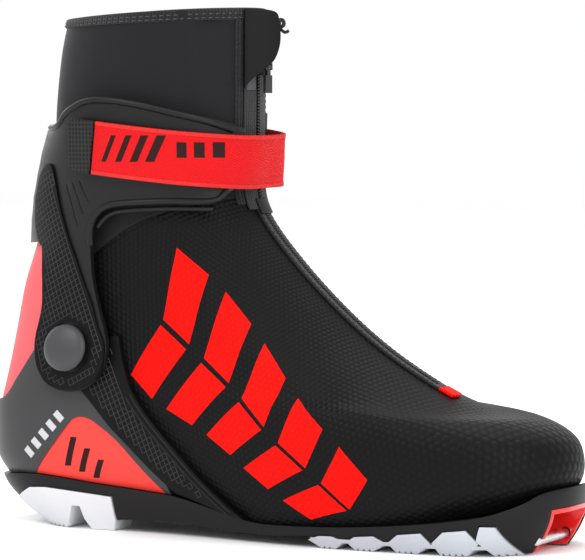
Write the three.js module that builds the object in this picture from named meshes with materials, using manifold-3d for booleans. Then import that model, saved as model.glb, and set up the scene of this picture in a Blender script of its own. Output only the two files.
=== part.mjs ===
// Cross-country combi boot for the right foot, millimetres.
// +X points to the toe, +Y to the inner side of the foot, +Z up; the origin is on the
// ground under the middle of the boot.
//
// Every layer of the upper is a shell between two offsets of one lasted surface, cut to
// its outline in side view, so the layers keep their clearances wherever they lie.
import * as THREE from "three";
import { mergeVertices } from "three/addons/utils/BufferGeometryUtils.js";
import Module from "manifold-3d";

const wasm = await Module();
wasm.setup();

// ---------------------------------------------------------------- driving sizes
const BOOT_LENGTH = 270; // over the toe and the heel counter
const BOOT_HEIGHT = 222; // ground to the collar rim at the front
const BALL_WIDTH = 90; // across the widest part of the upper
const TOE_SWING = 4; // how far the toe leans to the inner side
const GAP = 0.3; // between pieces that touch
const HINGE_GAP = 1.6; // between the cuff and the arms under it

const SKIN = 2; // vamp, heel panel and collar
const LINER = 3.6; // padded lining
const TONGUE = 3;
const COUNTER = 2.3; // heel counter and stabiliser arms
const ARM_RISE = 0.4; // how far the arms stand above the counter
const CUFF = 2.6;
const GRIP = 0.7; // ribbed grip panels on the cuff
const PAD = 0.9; // each half of the hook and loop closure
const STRAP = 1.5;
const STRAP_WIDTH = 22.5;
const STRAP_START = -36; // the anchor on the inner side
const STRAP_END = -77; // the end of the grip on the outer side
const GRIP_LENGTH = 11;
const ZIP_HALF = 9.5; // centre line to the edge of a zip tape
const INSTEP_ZIP_HALF = 4.6;
const TEETH_HALF = 2.2;
const TAPE = 0.9;
const TEETH = 2;
const SLIT_HALF = 1.5; // the upper is open behind the zip
const LACE_RADIUS = 0.8;
const LACE_TURNS = 8;

const PIVOT = { x: -80.3, z: 78.7 }; // cuff hinge, level with the ankle bone
const PIVOT_LOBE = 19;
const RIVET = { barrel: 4, head: 10, dome: 2.6, tilt: 10 };
const RIVET_CLEARANCE = 0.09;
const NUT = { radius: 8, thickness: 1.3 };

const BAR = { x: 124.5, z: 5.6, radius: 2, half: 17.5 };
const SLOT_HALF = 13.6; // inside the toe insert
const INSERT_WALL = 1.7;
const TREAD_GAP_HALF = 13.3; // centre line to the inner edge of a tread
const RAIL = { half: 12, depth: 6.2 }; // channel for the ski's guide rail
const TREAD_PROUD = 0.6;

// ---------------------------------------------------------------- frame of the last
const NOMINAL = { length: 270, height: 222, width: 90 };
const kx = BOOT_LENGTH / NOMINAL.length;
const ky = BALL_WIDTH / NOMINAL.width;
const kz = BOOT_HEIGHT / NOMINAL.height;

// Sections of the last, from the feather edge up to the rim. back and front are where a
// section meets the heel line and the instep line; heel and ball are half widths; heelCap
// and toeCap are how far its round ends reach in; sag is how far its middle hangs down.
const section = (back, front, heel, ball, heelCap, toeCap, sag = 0) => ({
  back,
  front,
  heel,
  ball,
  heelCap,
  toeCap,
  sag,
});
const LAST = [
  section([-126, 21], [125.5, 20], 27, 38.5, 32, 46, 14.5),
  section([-131.6, 29], [132.3, 27.5], 30.5, 43.5, 34, 52, 12),
  section([-133.2, 38], [134, 36], 32, 45, 35, 55, 7),
  section([-132.6, 50], [130, 45.5], 32.8, 44.5, 37, 56, 2),
  section([-130.2, 62], [116, 52.5], 33.4, 42, 45, 60),
  section([-127.6, 76], [92, 56], 34, 38, 60, 62),
  section([-125, 89], [64, 69.5], 34, 35, 66, 63),
  section([-121.5, 104], [37, 88], 33.4, 33, 62, 64),
  section([-115, 121], [9, 114], 33.6, 33, 52, 60),
  section([-109, 140], [-9.5, 138], 35, 34.5, 49, 50),
  section([-106, 160], [-12, 160], 36.4, 36, 47, 47),
  section([-104.5, 182], [-12, 182], 37, 37, 46, 46),
  section([-102, 203], [-12, 204], 36.2, 37.5, 45, 45),
  section([-98.5, 217], [-12, 222], 35.8, 38, 43.2, 43.2),
];
const SOLE = [
  section([-109, 0], [126.5, 0], 25.5, 38, 28, 34),
  section([-121, 8], [131.5, 8], 28.5, 43, 31, 38),
  section([-130.5, 17], [135, 17], 31, 46.3, 34, 48),
  section([-134.2, 27], [135.5, 29], 32.8, 47, 36, 54),
  section([-136, 40], [136, 40], 34, 47.5, 38, 56),
];
const RIM = LAST.length - 1;
const SAG_CENTRE = 35;
const SAG_REACH = 55;

const mix = (a, b, t) => a + (b - a) * t;
const clamp01 = (t) => Math.min(1, Math.max(0, t));
const ease = (t) => clamp01(t) ** 2 * (3 - 2 * clamp01(t));

// Catmull-Rom value of a list at the level s.
function along(list, s, pick) {
  const i = Math.min(list.length - 2, Math.max(0, Math.floor(s)));
  const t = s - i;
  const at = (k) => pick(list[Math.min(list.length - 1, Math.max(0, k))]);
  const [p0, p1, p2, p3] = [at(i - 1), at(i), at(i + 1), at(i + 2)];
  const m1 = (p2 - p0) / 2;
  const m2 = (p3 - p1) / 2;
  return (
    (2 * t ** 3 - 3 * t ** 2 + 1) * p1 +
    (t ** 3 - 2 * t ** 2 + t) * m1 +
    (3 * t ** 2 - 2 * t ** 3) * p2 +
    (t ** 3 - t ** 2) * m2
  );
}

const roundEnd = (d) => Math.sqrt(Math.max(0, 1 - (1 - clamp01(d)) ** 2));

// A point of a lasted surface: level s up it, and angle a round it from the heel line,
// over the outer side to the instep line at PI and back over the inner side.
function surfacePoint(list, s, a) {
  const get = (pick) => along(list, s, pick);
  const back = [get((p) => p.back[0]), get((p) => p.back[1])];
  const front = [get((p) => p.front[0]), get((p) => p.front[1])];
  const u = (1 - Math.cos(a)) / 2;
  const x = mix(back[0], front[0], u);
  const reach = front[0] - back[0];
  const half =
    mix(get((p) => p.heel), get((p) => p.ball), ease((u - 0.2) / 0.5)) *
    roundEnd((u * reach) / get((p) => p.heelCap)) *
    roundEnd(((1 - u) * reach) / get((p) => p.toeCap));
  const bump = 1 / (1 + ((x - SAG_CENTRE) / SAG_REACH) ** 4);
  const z = mix(back[1], front[1], u) - get((p) => p.sag) * bump;
  const swing = TOE_SWING * clamp01(x / (NOMINAL.length / 2)) ** 2;
  const side = a <= Math.PI ? -1 : 1;
  return new THREE.Vector3(x * kx, (side * half + swing) * ky, z * kz);
}

// The same point moved outwards by an offset.
function offsetPoint(list, s, a, offset) {
  const h = 0.02;
  const top = list.length - 1;
  const s1 = Math.min(top, s + h);
  const s0 = Math.max(0, s - h);
  const up = surfacePoint(list, s1, a).sub(surfacePoint(list, s0, a));
  const turn = (b) => ((b % (2 * Math.PI)) + 2 * Math.PI) % (2 * Math.PI);
  const round = surfacePoint(list, s, turn(a + h)).sub(surfacePoint(list, s, turn(a - h)));
  return up.cross(round).normalize().multiplyScalar(-offset).add(surfacePoint(list, s, a));
}

// ---------------------------------------------------------------- solids
const AROUND = 24; // facets round every shell

function solidOf(geometry) {
  const bare = geometry.clone();
  bare.deleteAttribute("normal");
  bare.deleteAttribute("uv");
  const merged = mergeVertices(bare, 1e-4);
  return new wasm.Manifold(
    new wasm.Mesh({
      numProp: 3,
      vertProperties: new Float32Array(merged.attributes.position.array),
      triVerts: new Uint32Array(merged.index.array),
    }),
  );
}

function geometryOf(solid) {
  const { numProp, vertProperties, triVerts } = solid.getMesh();
  const count = vertProperties.length / numProp;
  const positions = new Float32Array(count * 3);
  for (let i = 0; i < count; i++) {
    positions.set(vertProperties.subarray(i * numProp, i * numProp + 3), i * 3);
  }
  const geometry = new THREE.BufferGeometry();
  geometry.setAttribute("position", new THREE.BufferAttribute(positions, 3));
  geometry.setIndex(new THREE.BufferAttribute(new Uint32Array(triVerts), 1));
  geometry.computeVertexNormals();
  return geometry;
}

// Joins rings of equal length into one closed skin, with flat ends if capped. From the
// band turnAt on the rings run down again, and their facets are cut the other way, so
// that the two sides of a layer stay parallel.
function loft(rings, capped, turnAt = Infinity) {
  const around = rings[0].length;
  const points = rings.flat();
  const faces = [];
  const bands = capped ? rings.length - 1 : rings.length;
  for (let i = 0; i < bands; i++) {
    const low = i * around;
    const high = ((i + 1) % rings.length) * around;
    for (let j = 0; j < around; j++) {
      const k = (j + 1) % around;
      const [a, b, c, d] = [low + j, low + k, high + k, high + j];
      if (i < turnAt) faces.push([a, b, c], [a, c, d]);
      else faces.push([b, c, d], [b, d, a]);
    }
  }
  if (capped) {
    const centre = (ring) =>
      ring.reduce((sum, p) => sum.add(p), new THREE.Vector3()).divideScalar(around);
    const last = (rings.length - 1) * around;
    points.push(centre(rings[0]), centre(rings[rings.length - 1]));
    for (let j = 0; j < around; j++) {
      const k = (j + 1) % around;
      faces.push([points.length - 2, k, j], [points.length - 1, last + j, last + k]);
    }
  }
  const geometry = new THREE.BufferGeometry();
  geometry.setAttribute(
    "position",
    new THREE.Float32BufferAttribute(points.flatMap((p) => [p.x, p.y, p.z]), 3),
  );
  geometry.setIndex(faces.flat());
  return solidOf(geometry);
}

const angles = Array.from({ length: AROUND }, (_, j) => (j * 2 * Math.PI) / AROUND);
const even = () => 0;
const ring = (list, s, offset, draw) =>
  angles.map((a) => offsetPoint(list, s, a, offset - draw(s, a)));

// The levels from low to high: whole ones between the ends, so layers stay parallel.
function levels(low, high) {
  const rows = [low];
  for (let s = Math.floor(low) + 1; s < high; s++) rows.push(s);
  return [...rows, high];
}

// A band round the last; its cross-section is a closed list of [level, offset], and
// draw(s, a) is how far it is drawn in towards the last.
const band = (loop, turnAt, draw = even) =>
  loft(loop.map(([s, offset]) => ring(LAST, s, offset, draw)), false, turnAt);

// The layer of the last between two offsets.
function layer(inner, outer, low, high, draw = even) {
  const rows = levels(low, high);
  const skin = rows.map((s) => [s, outer]);
  return band([...skin, ...rows.map((s) => [s, inner]).reverse()], rows.length, draw);
}

const filled = (list, offset, low, high) =>
  loft(levels(low, high).map((s) => ring(list, s, offset, even)), true);

// A side-view outline, in nominal x and z, carried across the boot from y0 to y1.
const place = (x, z) => new THREE.Vector2(x * kx, z * kz);
function across(points, y0, y1) {
  const shape = new THREE.Shape(points);
  const geometry = new THREE.ExtrudeGeometry(shape, { depth: y1 - y0, bevelEnabled: false });
  return solidOf(geometry.rotateX(Math.PI / 2).translate(0, y1, 0));
}
const WIDE = BALL_WIDTH; // clear of the boot on both sides
const outline = (pairs) => pairs.map(([x, z]) => place(x, z));
const through = (pairs) => across(outline(pairs), -WIDE, WIDE);
function block(x0, x1, y0, y1, z0, z1) {
  const geometry = new THREE.BoxGeometry(x1 - x0, y1 - y0, z1 - z0);
  return solidOf(geometry.translate((x0 + x1) / 2, (y0 + y1) / 2, (z0 + z1) / 2));
}

// A rod along Y.
function rod(x, z, radius, y0, y1, sides = 20) {
  const geometry = new THREE.CylinderGeometry(radius, radius, y1 - y0, sides);
  return solidOf(geometry.translate(x, (y0 + y1) / 2, z));
}

const OUTER = -1; // side of the foot: outer is -Y
const INNER = 1;
const sided = (side, y0, y1) => (side > 0 ? [y0, y1] : [-y1, -y0]);
const halfSpace = (side, from = 0) =>
  block(-BOOT_LENGTH, BOOT_LENGTH, ...sided(side, from, WIDE), -10, 2 * BOOT_HEIGHT);

// ---------------------------------------------------------------- finishes
const finish = (color, roughness, metalness = 0) =>
  new THREE.MeshStandardMaterial({ color, roughness, metalness });
const FINISH = {
  vamp: finish(0x1c1c1d, 0.5),
  softshell: finish(0x242425, 0.62),
  knit: finish(0x37373a, 0.9),
  lining: finish(0x202022, 0.95),
  shell: finish(0x2c2c2e, 0.48),
  counter: finish(0x48484a, 0.5),
  cuff: finish(0x2a2a2b, 0.5),
  red: finish(0xff4f45, 0.45),
  webbing: finish(0xfb2a2c, 0.85),
  rubber: finish(0xd9dbe3, 0.6),
  steel: finish(0xc9ccd0, 0.3, 1),
  foam: finish(0x8a8c90, 0.95),
  cord: finish(0x17171a, 0.8),
};

const boot = new THREE.Group();
function add(name, solid, material) {
  const mesh = new THREE.Mesh(geometryOf(solid), material);
  mesh.name = name;
  boot.add(mesh);
  return mesh;
}

// ---------------------------------------------------------------- offsets of the layers
const COUNTER_IN = GAP;
const COUNTER_OUT = COUNTER_IN + COUNTER;
const ARM_OUT = COUNTER_OUT + ARM_RISE;
const CUFF_IN = ARM_OUT + HINGE_GAP;
const CUFF_OUT = CUFF_IN + CUFF;
const GRIP_OUT = CUFF_OUT + GAP + GRIP;
const LOOP_OUT = CUFF_OUT + GAP + PAD;
const HOOK_OUT = LOOP_OUT + GAP + PAD;
const STRAP_IN = HOOK_OUT + GAP;
const STRAP_OUT = STRAP_IN + STRAP;
const LINER_OUT = -SKIN - GAP;
const LINER_IN = LINER_OUT - LINER;
const TONGUE_OUT = LINER_IN - GAP;
const LACE_AT = LINER_OUT - LACE_RADIUS - GAP;
const TAPE_OUT = GAP + TAPE;
const TEETH_OUT = GAP + TEETH;

const THROAT_HALF = 20; // centre line to the edge of the lining over the tongue
const EYESTAY = { inner: 13.5, outer: THROAT_HALF - GAP };
const RIM_EDGE = 12.8; // where the cloth ends under the binding

// ---------------------------------------------------------------- sole
const FEATHER = [
  [-150, 20], [-131, 20.4], [-121, 21.4], [-113.5, 22.4], [-105, 22.9], [-96, 22.6],
  [-71, 19.9], [-45, 18], [-32, 17],
  [-13.6, 13.2], [4.4, 9], [20, 8.4], [53, 9.8], [81, 12.3], [98, 14.5],
  [110, 16.5], [119, 19.5], [124, 22], [131, 26], [150, 28],
];
const WAIST = [
  [30, 4.7], [16, 3.6], [-7, 3.8], [-25, 5], [-43, 5.5], [-60, 5], [-64.3, 4.5],
];
const TREAD_TOP = 4.4;
const HEEL_TREAD = [
  [-122, 8.5], [-114, 13], [-106, 16.9], [-98, 17.4], [-65.4, 14.8], [-65, 4.2],
  [-66.5, 0], [-77.5, 0], [-80.2, 4.4], [-81.5, 10], [-85.5, 10], [-89.3, 0], [-104.5, 0],
];
const LUGS = [
  [[32.5, 3.4], [38, 0], [44.5, 0], [49, 3.4], [44, 5.4], [38, 5.2]],
  [[50.5, 3.4], [53.5, 0], [61.5, 0], [68.3, 3.6], [63, 6.6], [54.6, 5.8]],
  [[68.9, 3.9], [72, 0], [81, 0], [88, 4.6], [84.4, 9], [74.2, 7.8]],
  [[88.6, 5], [91.2, 0], [102, 0], [107.6, 5.4], [103.5, 11], [94.5, 10]],
  [[107, 6.6], [111.8, 0], [120, 0], [114, 12.3], [109, 12.5]],
];
const LUG_WEB = [[34, 2.8], [111, 2.8], [111, TREAD_TOP], [34, TREAD_TOP]];

// A convex outline grown by a gap.
function grown(pairs, gap) {
  const cx = pairs.reduce((sum, p) => sum + p[0], 0) / pairs.length;
  const cz = pairs.reduce((sum, p) => sum + p[1], 0) / pairs.length;
  return pairs.map(([x, z]) => {
    const reach = Math.hypot(x - cx, z - cz);
    return [x + ((x - cx) / reach) * gap, z + ((z - cz) / reach) * gap];
  });
}

const soleBlank = (offset) => filled(SOLE, offset, 0, SOLE.length - 1);
const lastSolid = (offset) => filled(LAST, offset, 0, 4);

const TOE_FRONT = [[128.5, 5.5], [134.3, 16.5], [150, 21]];
const SLOT = [[110, -5], [110, 13.4], [160, 20.4], [160, -5]];
function slotCut(wall) {
  const roof = SLOT.map(([x, z]) => [x < 120 ? x - wall : x, z > 0 ? z + wall : z]);
  return across(outline(roof), -SLOT_HALF - wall, SLOT_HALF + wall);
}
const barRod = (radius, half) => rod(BAR.x * kx, BAR.z * kz, radius, -half, half, 16);
const barHole = barRod(BAR.radius + GAP, BAR.half + GAP);

const PLATE = [
  ...FEATHER,
  ...[...TOE_FRONT].reverse(),
  [125, 0.4], [120.6, 0.4], [114.6, 12.9], [108.4, 13.1], [107.2, 4.7],
  ...WAIST,
  [-64.8, 15.2], [-98, 17.8], [-106, 17.3], [-114.2, 13.4], [-122.3, 8.9],
  [-131, 13], [-150, 13],
];

function solePlate() {
  const lugRoom = wasm.Manifold.union(LUGS.map((lug) => through(grown(lug, GAP + 0.15))));
  const core = block(
    -BOOT_LENGTH, BOOT_LENGTH, -TREAD_GAP_HALF + GAP, TREAD_GAP_HALF - GAP, -5, 60,
  );
  return soleBlank(0)
    .intersect(through(PLATE))
    .subtract(lastSolid(GAP))
    .subtract(lastSolid(GAP).translate([0, 0, -1]))
    .subtract(lugRoom.subtract(core))
    .subtract(slotCut(INSERT_WALL + GAP))
    .subtract(barHole);
}

function toeInsert() {
  const front = [[100, 0.7], [124.7, 0.7], [128.2, 5.6], [134, 16.6], [136, 40], [100, 40]];
  return slotCut(INSERT_WALL)
    .subtract(slotCut(0))
    .intersect(through(front))
    .intersect(soleBlank(-GAP))
    .subtract(barHole);
}

function heelTread() {
  const rail = block(-BOOT_LENGTH, 0, -RAIL.half, RAIL.half, -5, RAIL.depth * kz);
  return soleBlank(TREAD_PROUD).intersect(through(HEEL_TREAD)).subtract(rail);
}

function forefootTread(side) {
  return wasm.Manifold.union([...LUGS, LUG_WEB].map(through))
    .intersect(soleBlank(TREAD_PROUD))
    .intersect(halfSpace(side, TREAD_GAP_HALF))
    .subtract(slotCut(INSERT_WALL + GAP));
}

add("sole_plate", solePlate(), FINISH.shell);
add("toe_insert", toeInsert(), FINISH.red);
add("toe_bar", barRod(BAR.radius, BAR.half), FINISH.steel);
add("heel_tread", heelTread(), FINISH.rubber);
add("forefoot_tread_lateral", forefootTread(OUTER), FINISH.rubber);
add("forefoot_tread_medial", forefootTread(INNER), FINISH.rubber);

// ---------------------------------------------------------------- hinge between shell and cuff
// The pin lies along Y; its head leans back with the shell under it.
const pivotAt = place(PIVOT.x, PIVOT.z);

// How far out the last lies on the hinge axis.
function pivotFace() {
  let best = { gap: Infinity, y: 0 };
  for (let s = 4; s < 7; s += 0.05) {
    for (let a = 0.4; a < 1.8; a += 0.02) {
      const p = offsetPoint(LAST, s, a, 0);
      const gap = Math.hypot(p.x - pivotAt.x, p.z - pivotAt.y);
      if (gap < best.gap) best = { gap, y: Math.abs(p.y) };
    }
  }
  return best.y;
}
const skinFace = pivotFace();
const headSeat = skinFace + GRIP_OUT + 2;
const nutSeat = skinFace - SKIN - 2.8;

const bore = (side, radius = RIVET.barrel + RIVET_CLEARANCE, sides = 32) =>
  rod(pivotAt.x, pivotAt.y, radius, ...sided(side, 5, WIDE), sides);
const bores = (solid) => solid.subtract(bore(OUTER)).subtract(bore(INNER));

function pivotRivet(side) {
  const dome = new THREE.LatheGeometry(
    [
      new THREE.Vector2(0, 0),
      new THREE.Vector2(RIVET.head, 0),
      ...new THREE.EllipseCurve(0, 1, RIVET.head, RIVET.dome, 0, Math.PI / 2).getPoints(4),
    ],
    28,
  );
  if (side < 0) dome.rotateZ(Math.PI);
  dome.rotateZ((side * RIVET.tilt * Math.PI) / 180);
  dome.translate(pivotAt.x, side * headSeat, pivotAt.y);
  const shank = sided(side, nutSeat, headSeat + 1.5);
  return solidOf(dome).add(rod(pivotAt.x, pivotAt.y, RIVET.barrel, ...shank, 32));
}

const nutSpan = (side) => sided(side, nutSeat - GAP - NUT.thickness, nutSeat - GAP);
const pivotNut = (side) => rod(pivotAt.x, pivotAt.y, NUT.radius, ...nutSpan(side));
const nutRoom = (side) =>
  rod(
    pivotAt.x, pivotAt.y, NUT.radius + 1,
    ...sided(side, nutSeat - 2 * GAP - NUT.thickness, skinFace),
  );
const nutRooms = (solid) => solid.subtract(nutRoom(OUTER)).subtract(nutRoom(INNER));

// ---------------------------------------------------------------- upper
// Below LOW_EDGE the upper belongs to the sole, above HIGH_EDGE to the cuff, and the
// gaiter between them folds when the ankle bends.
const LOW_EDGE = [[-160, 87], [-80, 89], [-50, 93.5], [-20, 100], [0, 105.5], [16, 110], [60, 124]];
const HIGH_EDGE = [[-160, 94], [-100, 95], [-80, 98], [-60, 106], [-40, 118], [-25, 128],
  [-12, 137], [40, 150]];
const raised = (line, dz) => line.map(([x, z]) => [x, z + dz]);
const under = (line) => through([...line, [200, line[line.length - 1][1]], [200, -40], [-160, -40]]);
const over = (line) => through([...line, [60, 260], [-160, 260]]);
const between = through([...raised(LOW_EDGE, GAP), ...raised(HIGH_EDGE, -GAP).reverse()]);

// The soft heel panel, in side view.
const PANEL = [[-160, 53], [-119, 53], [-113, 62], [-101, 78], [-95, 84], [-97, 96], [-99, 124],
  [-104, 136], [-160, 136]];
const panelCut = through(PANEL);
const panelRoom = through(grown(PANEL, GAP));
const slit = block(
  PIVOT.x * kx, 68 * kx, -SLIT_HALF, SLIT_HALF, 60 * kz, 2 * BOOT_HEIGHT,
);

const skin = layer(-SKIN, 0, 0, RIM_EDGE);
const lowerSkin = bores(skin.intersect(under(LOW_EDGE)));
const upperSkin = skin.intersect(over(HIGH_EDGE));
add("vamp_shell", lowerSkin.subtract(panelRoom).subtract(slit), FINISH.vamp);
add("heel_panel", lowerSkin.intersect(panelCut), FINISH.red);
add("ankle_gaiter", skin.intersect(between).subtract(slit), FINISH.softshell);

const padding = layer(LINER_IN, LINER_OUT, 0, RIM_EDGE);
const throat = block(
  -45 * kx, 78 * kx, -THROAT_HALF, THROAT_HALF, 62 * kz, 2 * BOOT_HEIGHT,
).intersect(under(raised(HIGH_EDGE, 1)));
add(
  "lining",
  nutRooms(padding.intersect(under(LOW_EDGE))).subtract(throat),
  FINISH.lining,
);
add("gaiter_lining", padding.intersect(between).subtract(throat), FINISH.lining);
add("lasting_board", filled(LAST, TONGUE_OUT, 0.02, 0.34), FINISH.foam);
add("insole", filled(LAST, TONGUE_OUT, 0.4, 0.85), FINISH.foam);

// ---------------------------------------------------------------- tongue and lace
const centreBand = (half, from = 0) =>
  block(-BOOT_LENGTH, BOOT_LENGTH, -half, half, from, 2 * BOOT_HEIGHT);
add(
  "tongue",
  layer(TONGUE_OUT - TONGUE, TONGUE_OUT, 4, 9)
    .intersect(under(LOW_EDGE))
    .intersect(centreBand(THROAT_HALF + 4))
    .intersect(block(-40 * kx, 84 * kx, -WIDE, WIDE, 50 * kz, 2 * BOOT_HEIGHT)),
  FINISH.lining,
);

function tube(points, radius, steps) {
  const path = new THREE.CatmullRomCurve3(points, false, "centripetal");
  const circle = new THREE.Shape(
    Array.from({ length: 6 }, (_, i) =>
      new THREE.Vector2(radius, 0).rotateAround(new THREE.Vector2(), (i * Math.PI) / 3),
    ),
  );
  return solidOf(new THREE.ExtrudeGeometry(circle, { steps, extrudePath: path }));
}

// A point on the instep at a level and a distance from the centre line.
function instepPoint(s, y, offset) {
  let low = Math.PI / 2;
  let high = Math.PI;
  for (let i = 0; i < 24; i++) {
    const a = (low + high) / 2;
    const p = offsetPoint(LAST, s, y < 0 ? a : 2 * Math.PI - a, offset);
    if (Math.abs(p.y) > Math.abs(y)) low = a;
    else high = a;
  }
  return offsetPoint(LAST, s, y < 0 ? low : 2 * Math.PI - low, offset);
}

function lacePath() {
  const points = [];
  const [first, last] = [6.05, 7.7];
  for (let i = 0; i < LACE_TURNS; i++) {
    const s = mix(first, last, i / (LACE_TURNS - 1));
    const side = i % 2 ? 1 : -1;
    for (const [ds, y] of [[-0.13, 0], [-0.1, 8], [-0.07, 14.5], [0, 16.8], [0.07, 14.5], [0.1, 8]]) {
      points.push(instepPoint(s + ds, side * y, LACE_AT));
    }
  }
  return points;
}
const LACE_STEPS = LACE_TURNS * 7;
add("inner_lace", tube(lacePath(), LACE_RADIUS, LACE_STEPS), FINISH.cord);
// The webbing under the lace's turns, stitched to the lining's edge.
const eyestay = (side) =>
  layer(LINER_IN, LINER_IN + 0.8, 4, 9)
    .intersect(under(LOW_EDGE))
    .intersect(
      block(-20 * kx, 76 * kx, ...sided(side, EYESTAY.inner, EYESTAY.outer), 64 * kz, BOOT_HEIGHT),
    );
add("eyestay_lateral", eyestay(OUTER), FINISH.knit);
add("eyestay_medial", eyestay(INNER), FINISH.knit);

// ---------------------------------------------------------------- heel counter and arms
const ARM_BACK = [[-96, 79], [-91, 72.5], [-84.5, 67], [-78.5, 61.5], [-73, 56], [-64, 46],
  [-57, 39.8], [-45, 29.3], [-31.5, 17.8]];
const ARM_FRONT = [[6, 7], [-4.5, 15], [-18, 26], [-31.5, 38.5], [-44, 51], [-52, 62], [-58, 74]];
const COUNTER_TOP = [[-101, 79.5], [-105.6, 74], [-113, 64], [-119, 56.5], [-160, 54]];
const footLine = raised(FEATHER, GAP);

const COUNTER_SIDE = [...COUNTER_TOP, ...footLine.filter((p) => p[0] < -33),
  ...ARM_BACK.slice(1, -1).reverse()];
const INSET = [[-103.8, 22], [-96, 21], [-71, 18.4], [-46, 16.5], [-35.5, 16], [-51.5, 31.4],
  [-60, 39.5], [-71, 47], [-77, 48.6], [-84, 45]];
const ARM_SIDE = [...ARM_FRONT, ...raised(ARM_BACK.slice(1), 0.3), [-30, 18], [-13.6, 13.6]];

const footRoom = under(footLine);
const counterSide = through(COUNTER_SIDE);
add(
  "heel_counter",
  layer(COUNTER_IN, COUNTER_OUT, 0, 7)
    .intersect(counterSide)
    .subtract(footRoom)
    .subtract(through(grown(INSET, 0.4))),
  FINISH.counter,
);
function inset(side) {
  return layer(COUNTER_IN, COUNTER_OUT - 0.5, 0, 4)
    .intersect(through(INSET))
    .subtract(footRoom)
    .intersect(halfSpace(side, 8));
}
add("inset_lateral", inset(OUTER), FINISH.red);
add("inset_medial", inset(INNER), FINISH.red);

function arm(side) {
  const hub = rod(pivotAt.x, pivotAt.y, PIVOT_LOBE - 4, ...sided(side, 5, WIDE), 28);
  const limb = across(outline(ARM_SIDE), ...sided(side, 5, WIDE)).add(hub);
  return bores(
    layer(COUNTER_IN, ARM_OUT, 0, 8)
      .intersect(limb)
      .subtract(footRoom)
      .subtract(counterSide.translate([GAP, 0, 0]))
      .subtract(counterSide),
  );
}
add("stabiliser_arm_lateral", arm(OUTER), FINISH.shell);
add("stabiliser_arm_medial", arm(INNER), FINISH.shell);

// ---------------------------------------------------------------- cuff
const CUFF_FRONT = [[-62.5, 86], [-66.5, 98], [-69, 110], [-69.5, 122], [-68.2, 130], [-65, 135.6],
  [-59, 138.4], [-48, 139.6], [-20, 140.2], [-14.5, 143], [-12, 150], [-10, 171]];
const CUFF_TOP = [[-15, 174.3], [-27, 178], [-40, 181], [-55, 182.6], [-69, 182.2], [-77, 180],
  [-83, 176.4], [-89, 172], [-96, 170], [-160, 170]];
const CUFF_BACK = [[-160, 121.5], [-112, 121.5], [-100, 122.6], [-97.4, 119], [-95.6, 110],
  [-94.4, 100], [-95, 93], [-97.5, 84]];

const CUFF_INNER_FRONT = -24; // its front edge above the ankle on the inner side

// Behind the ankle the cuff hugs the leg at its lower edge and again at its top.
const HUG = [0, 0, 0, 0, 0, 0, 0, 0, 3.4, 0, 1.6, 6, 6, 6];
function hug(s, a) {
  const turn = Math.min(a, 2 * Math.PI - a);
  return along(HUG, Math.round(s), (v) => v) * (1 - ease((turn - 0.6) / 0.6));
}

function cuffShell() {
  const lobe = rod(pivotAt.x, pivotAt.y, PIVOT_LOBE, -WIDE, WIDE, 36);
  const side = through([...CUFF_FRONT, ...CUFF_TOP, ...CUFF_BACK]).add(lobe);
  const opening = block(CUFF_INNER_FRONT * kx, BOOT_LENGTH, 8, WIDE, 125 * kz, 2 * BOOT_HEIGHT);
  return bores(layer(CUFF_IN, CUFF_OUT, 2, 12, hug).intersect(side).subtract(opening));
}
add("cuff_shell", cuffShell(), FINISH.cuff);

const GRIP_OUTLINE = [[-99, 84], [-96.5, 93], [-96, 100], [-97, 110], [-99, 120], [-106, 124],
  [-108, 140], [-104, 156], [-98, 160], [-92, 156], [-88, 148], [-85.5, 138], [-81, 126],
  [-77, 117], [-72.5, 106], [-68.5, 97], [-65.5, 88], [-65, 80], [-66.5, 72], [-71, 66],
  [-80, 62.6], [-89, 65], [-95.5, 71], [-98.6, 78]];
function gripPanel(side) {
  return layer(CUFF_OUT + GAP, GRIP_OUT, 2, 12, hug)
    .intersect(across(outline(GRIP_OUTLINE), ...sided(side, 14, WIDE)))
    .subtract(bore(side, RIVET.head + 1));
}
add("cuff_grip_lateral", gripPanel(OUTER), FINISH.shell);
add("cuff_grip_medial", gripPanel(INNER), FINISH.shell);
add("pivot_rivet_lateral", pivotRivet(OUTER), FINISH.cuff);
add("pivot_rivet_medial", pivotRivet(INNER), FINISH.cuff);
add("pivot_nut_lateral", pivotNut(OUTER), FINISH.steel);
add("pivot_nut_medial", pivotNut(INNER), FINISH.steel);

// ---------------------------------------------------------------- collar
const REAR_HALF = 9;
const rearStrip = (half) =>
  block(-BOOT_LENGTH, PIVOT.x * kx, -half, half, 172.5 * kz, 2 * BOOT_HEIGHT);
add(
  "collar_shell",
  upperSkin.subtract(panelRoom).subtract(slit).subtract(rearStrip(REAR_HALF + GAP)),
  FINISH.softshell,
);
add("collar_rear_panel", upperSkin.intersect(rearStrip(REAR_HALF)), FINISH.knit);
add("heel_panel_upper", upperSkin.intersect(panelCut), FINISH.red);
add("collar_lining", nutRooms(padding.intersect(over(HIGH_EDGE))), FINISH.lining);
add(
  "collar_binding",
  band([
    [12.86, 0.3], [12.86, 1.1], [12.95, 1.3], [13, 0.2],
    [13, LINER_IN + 0.4], [12.95, LINER_IN - 0.6], [12.86, LINER_IN],
  ]),
  FINISH.knit,
);

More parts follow.
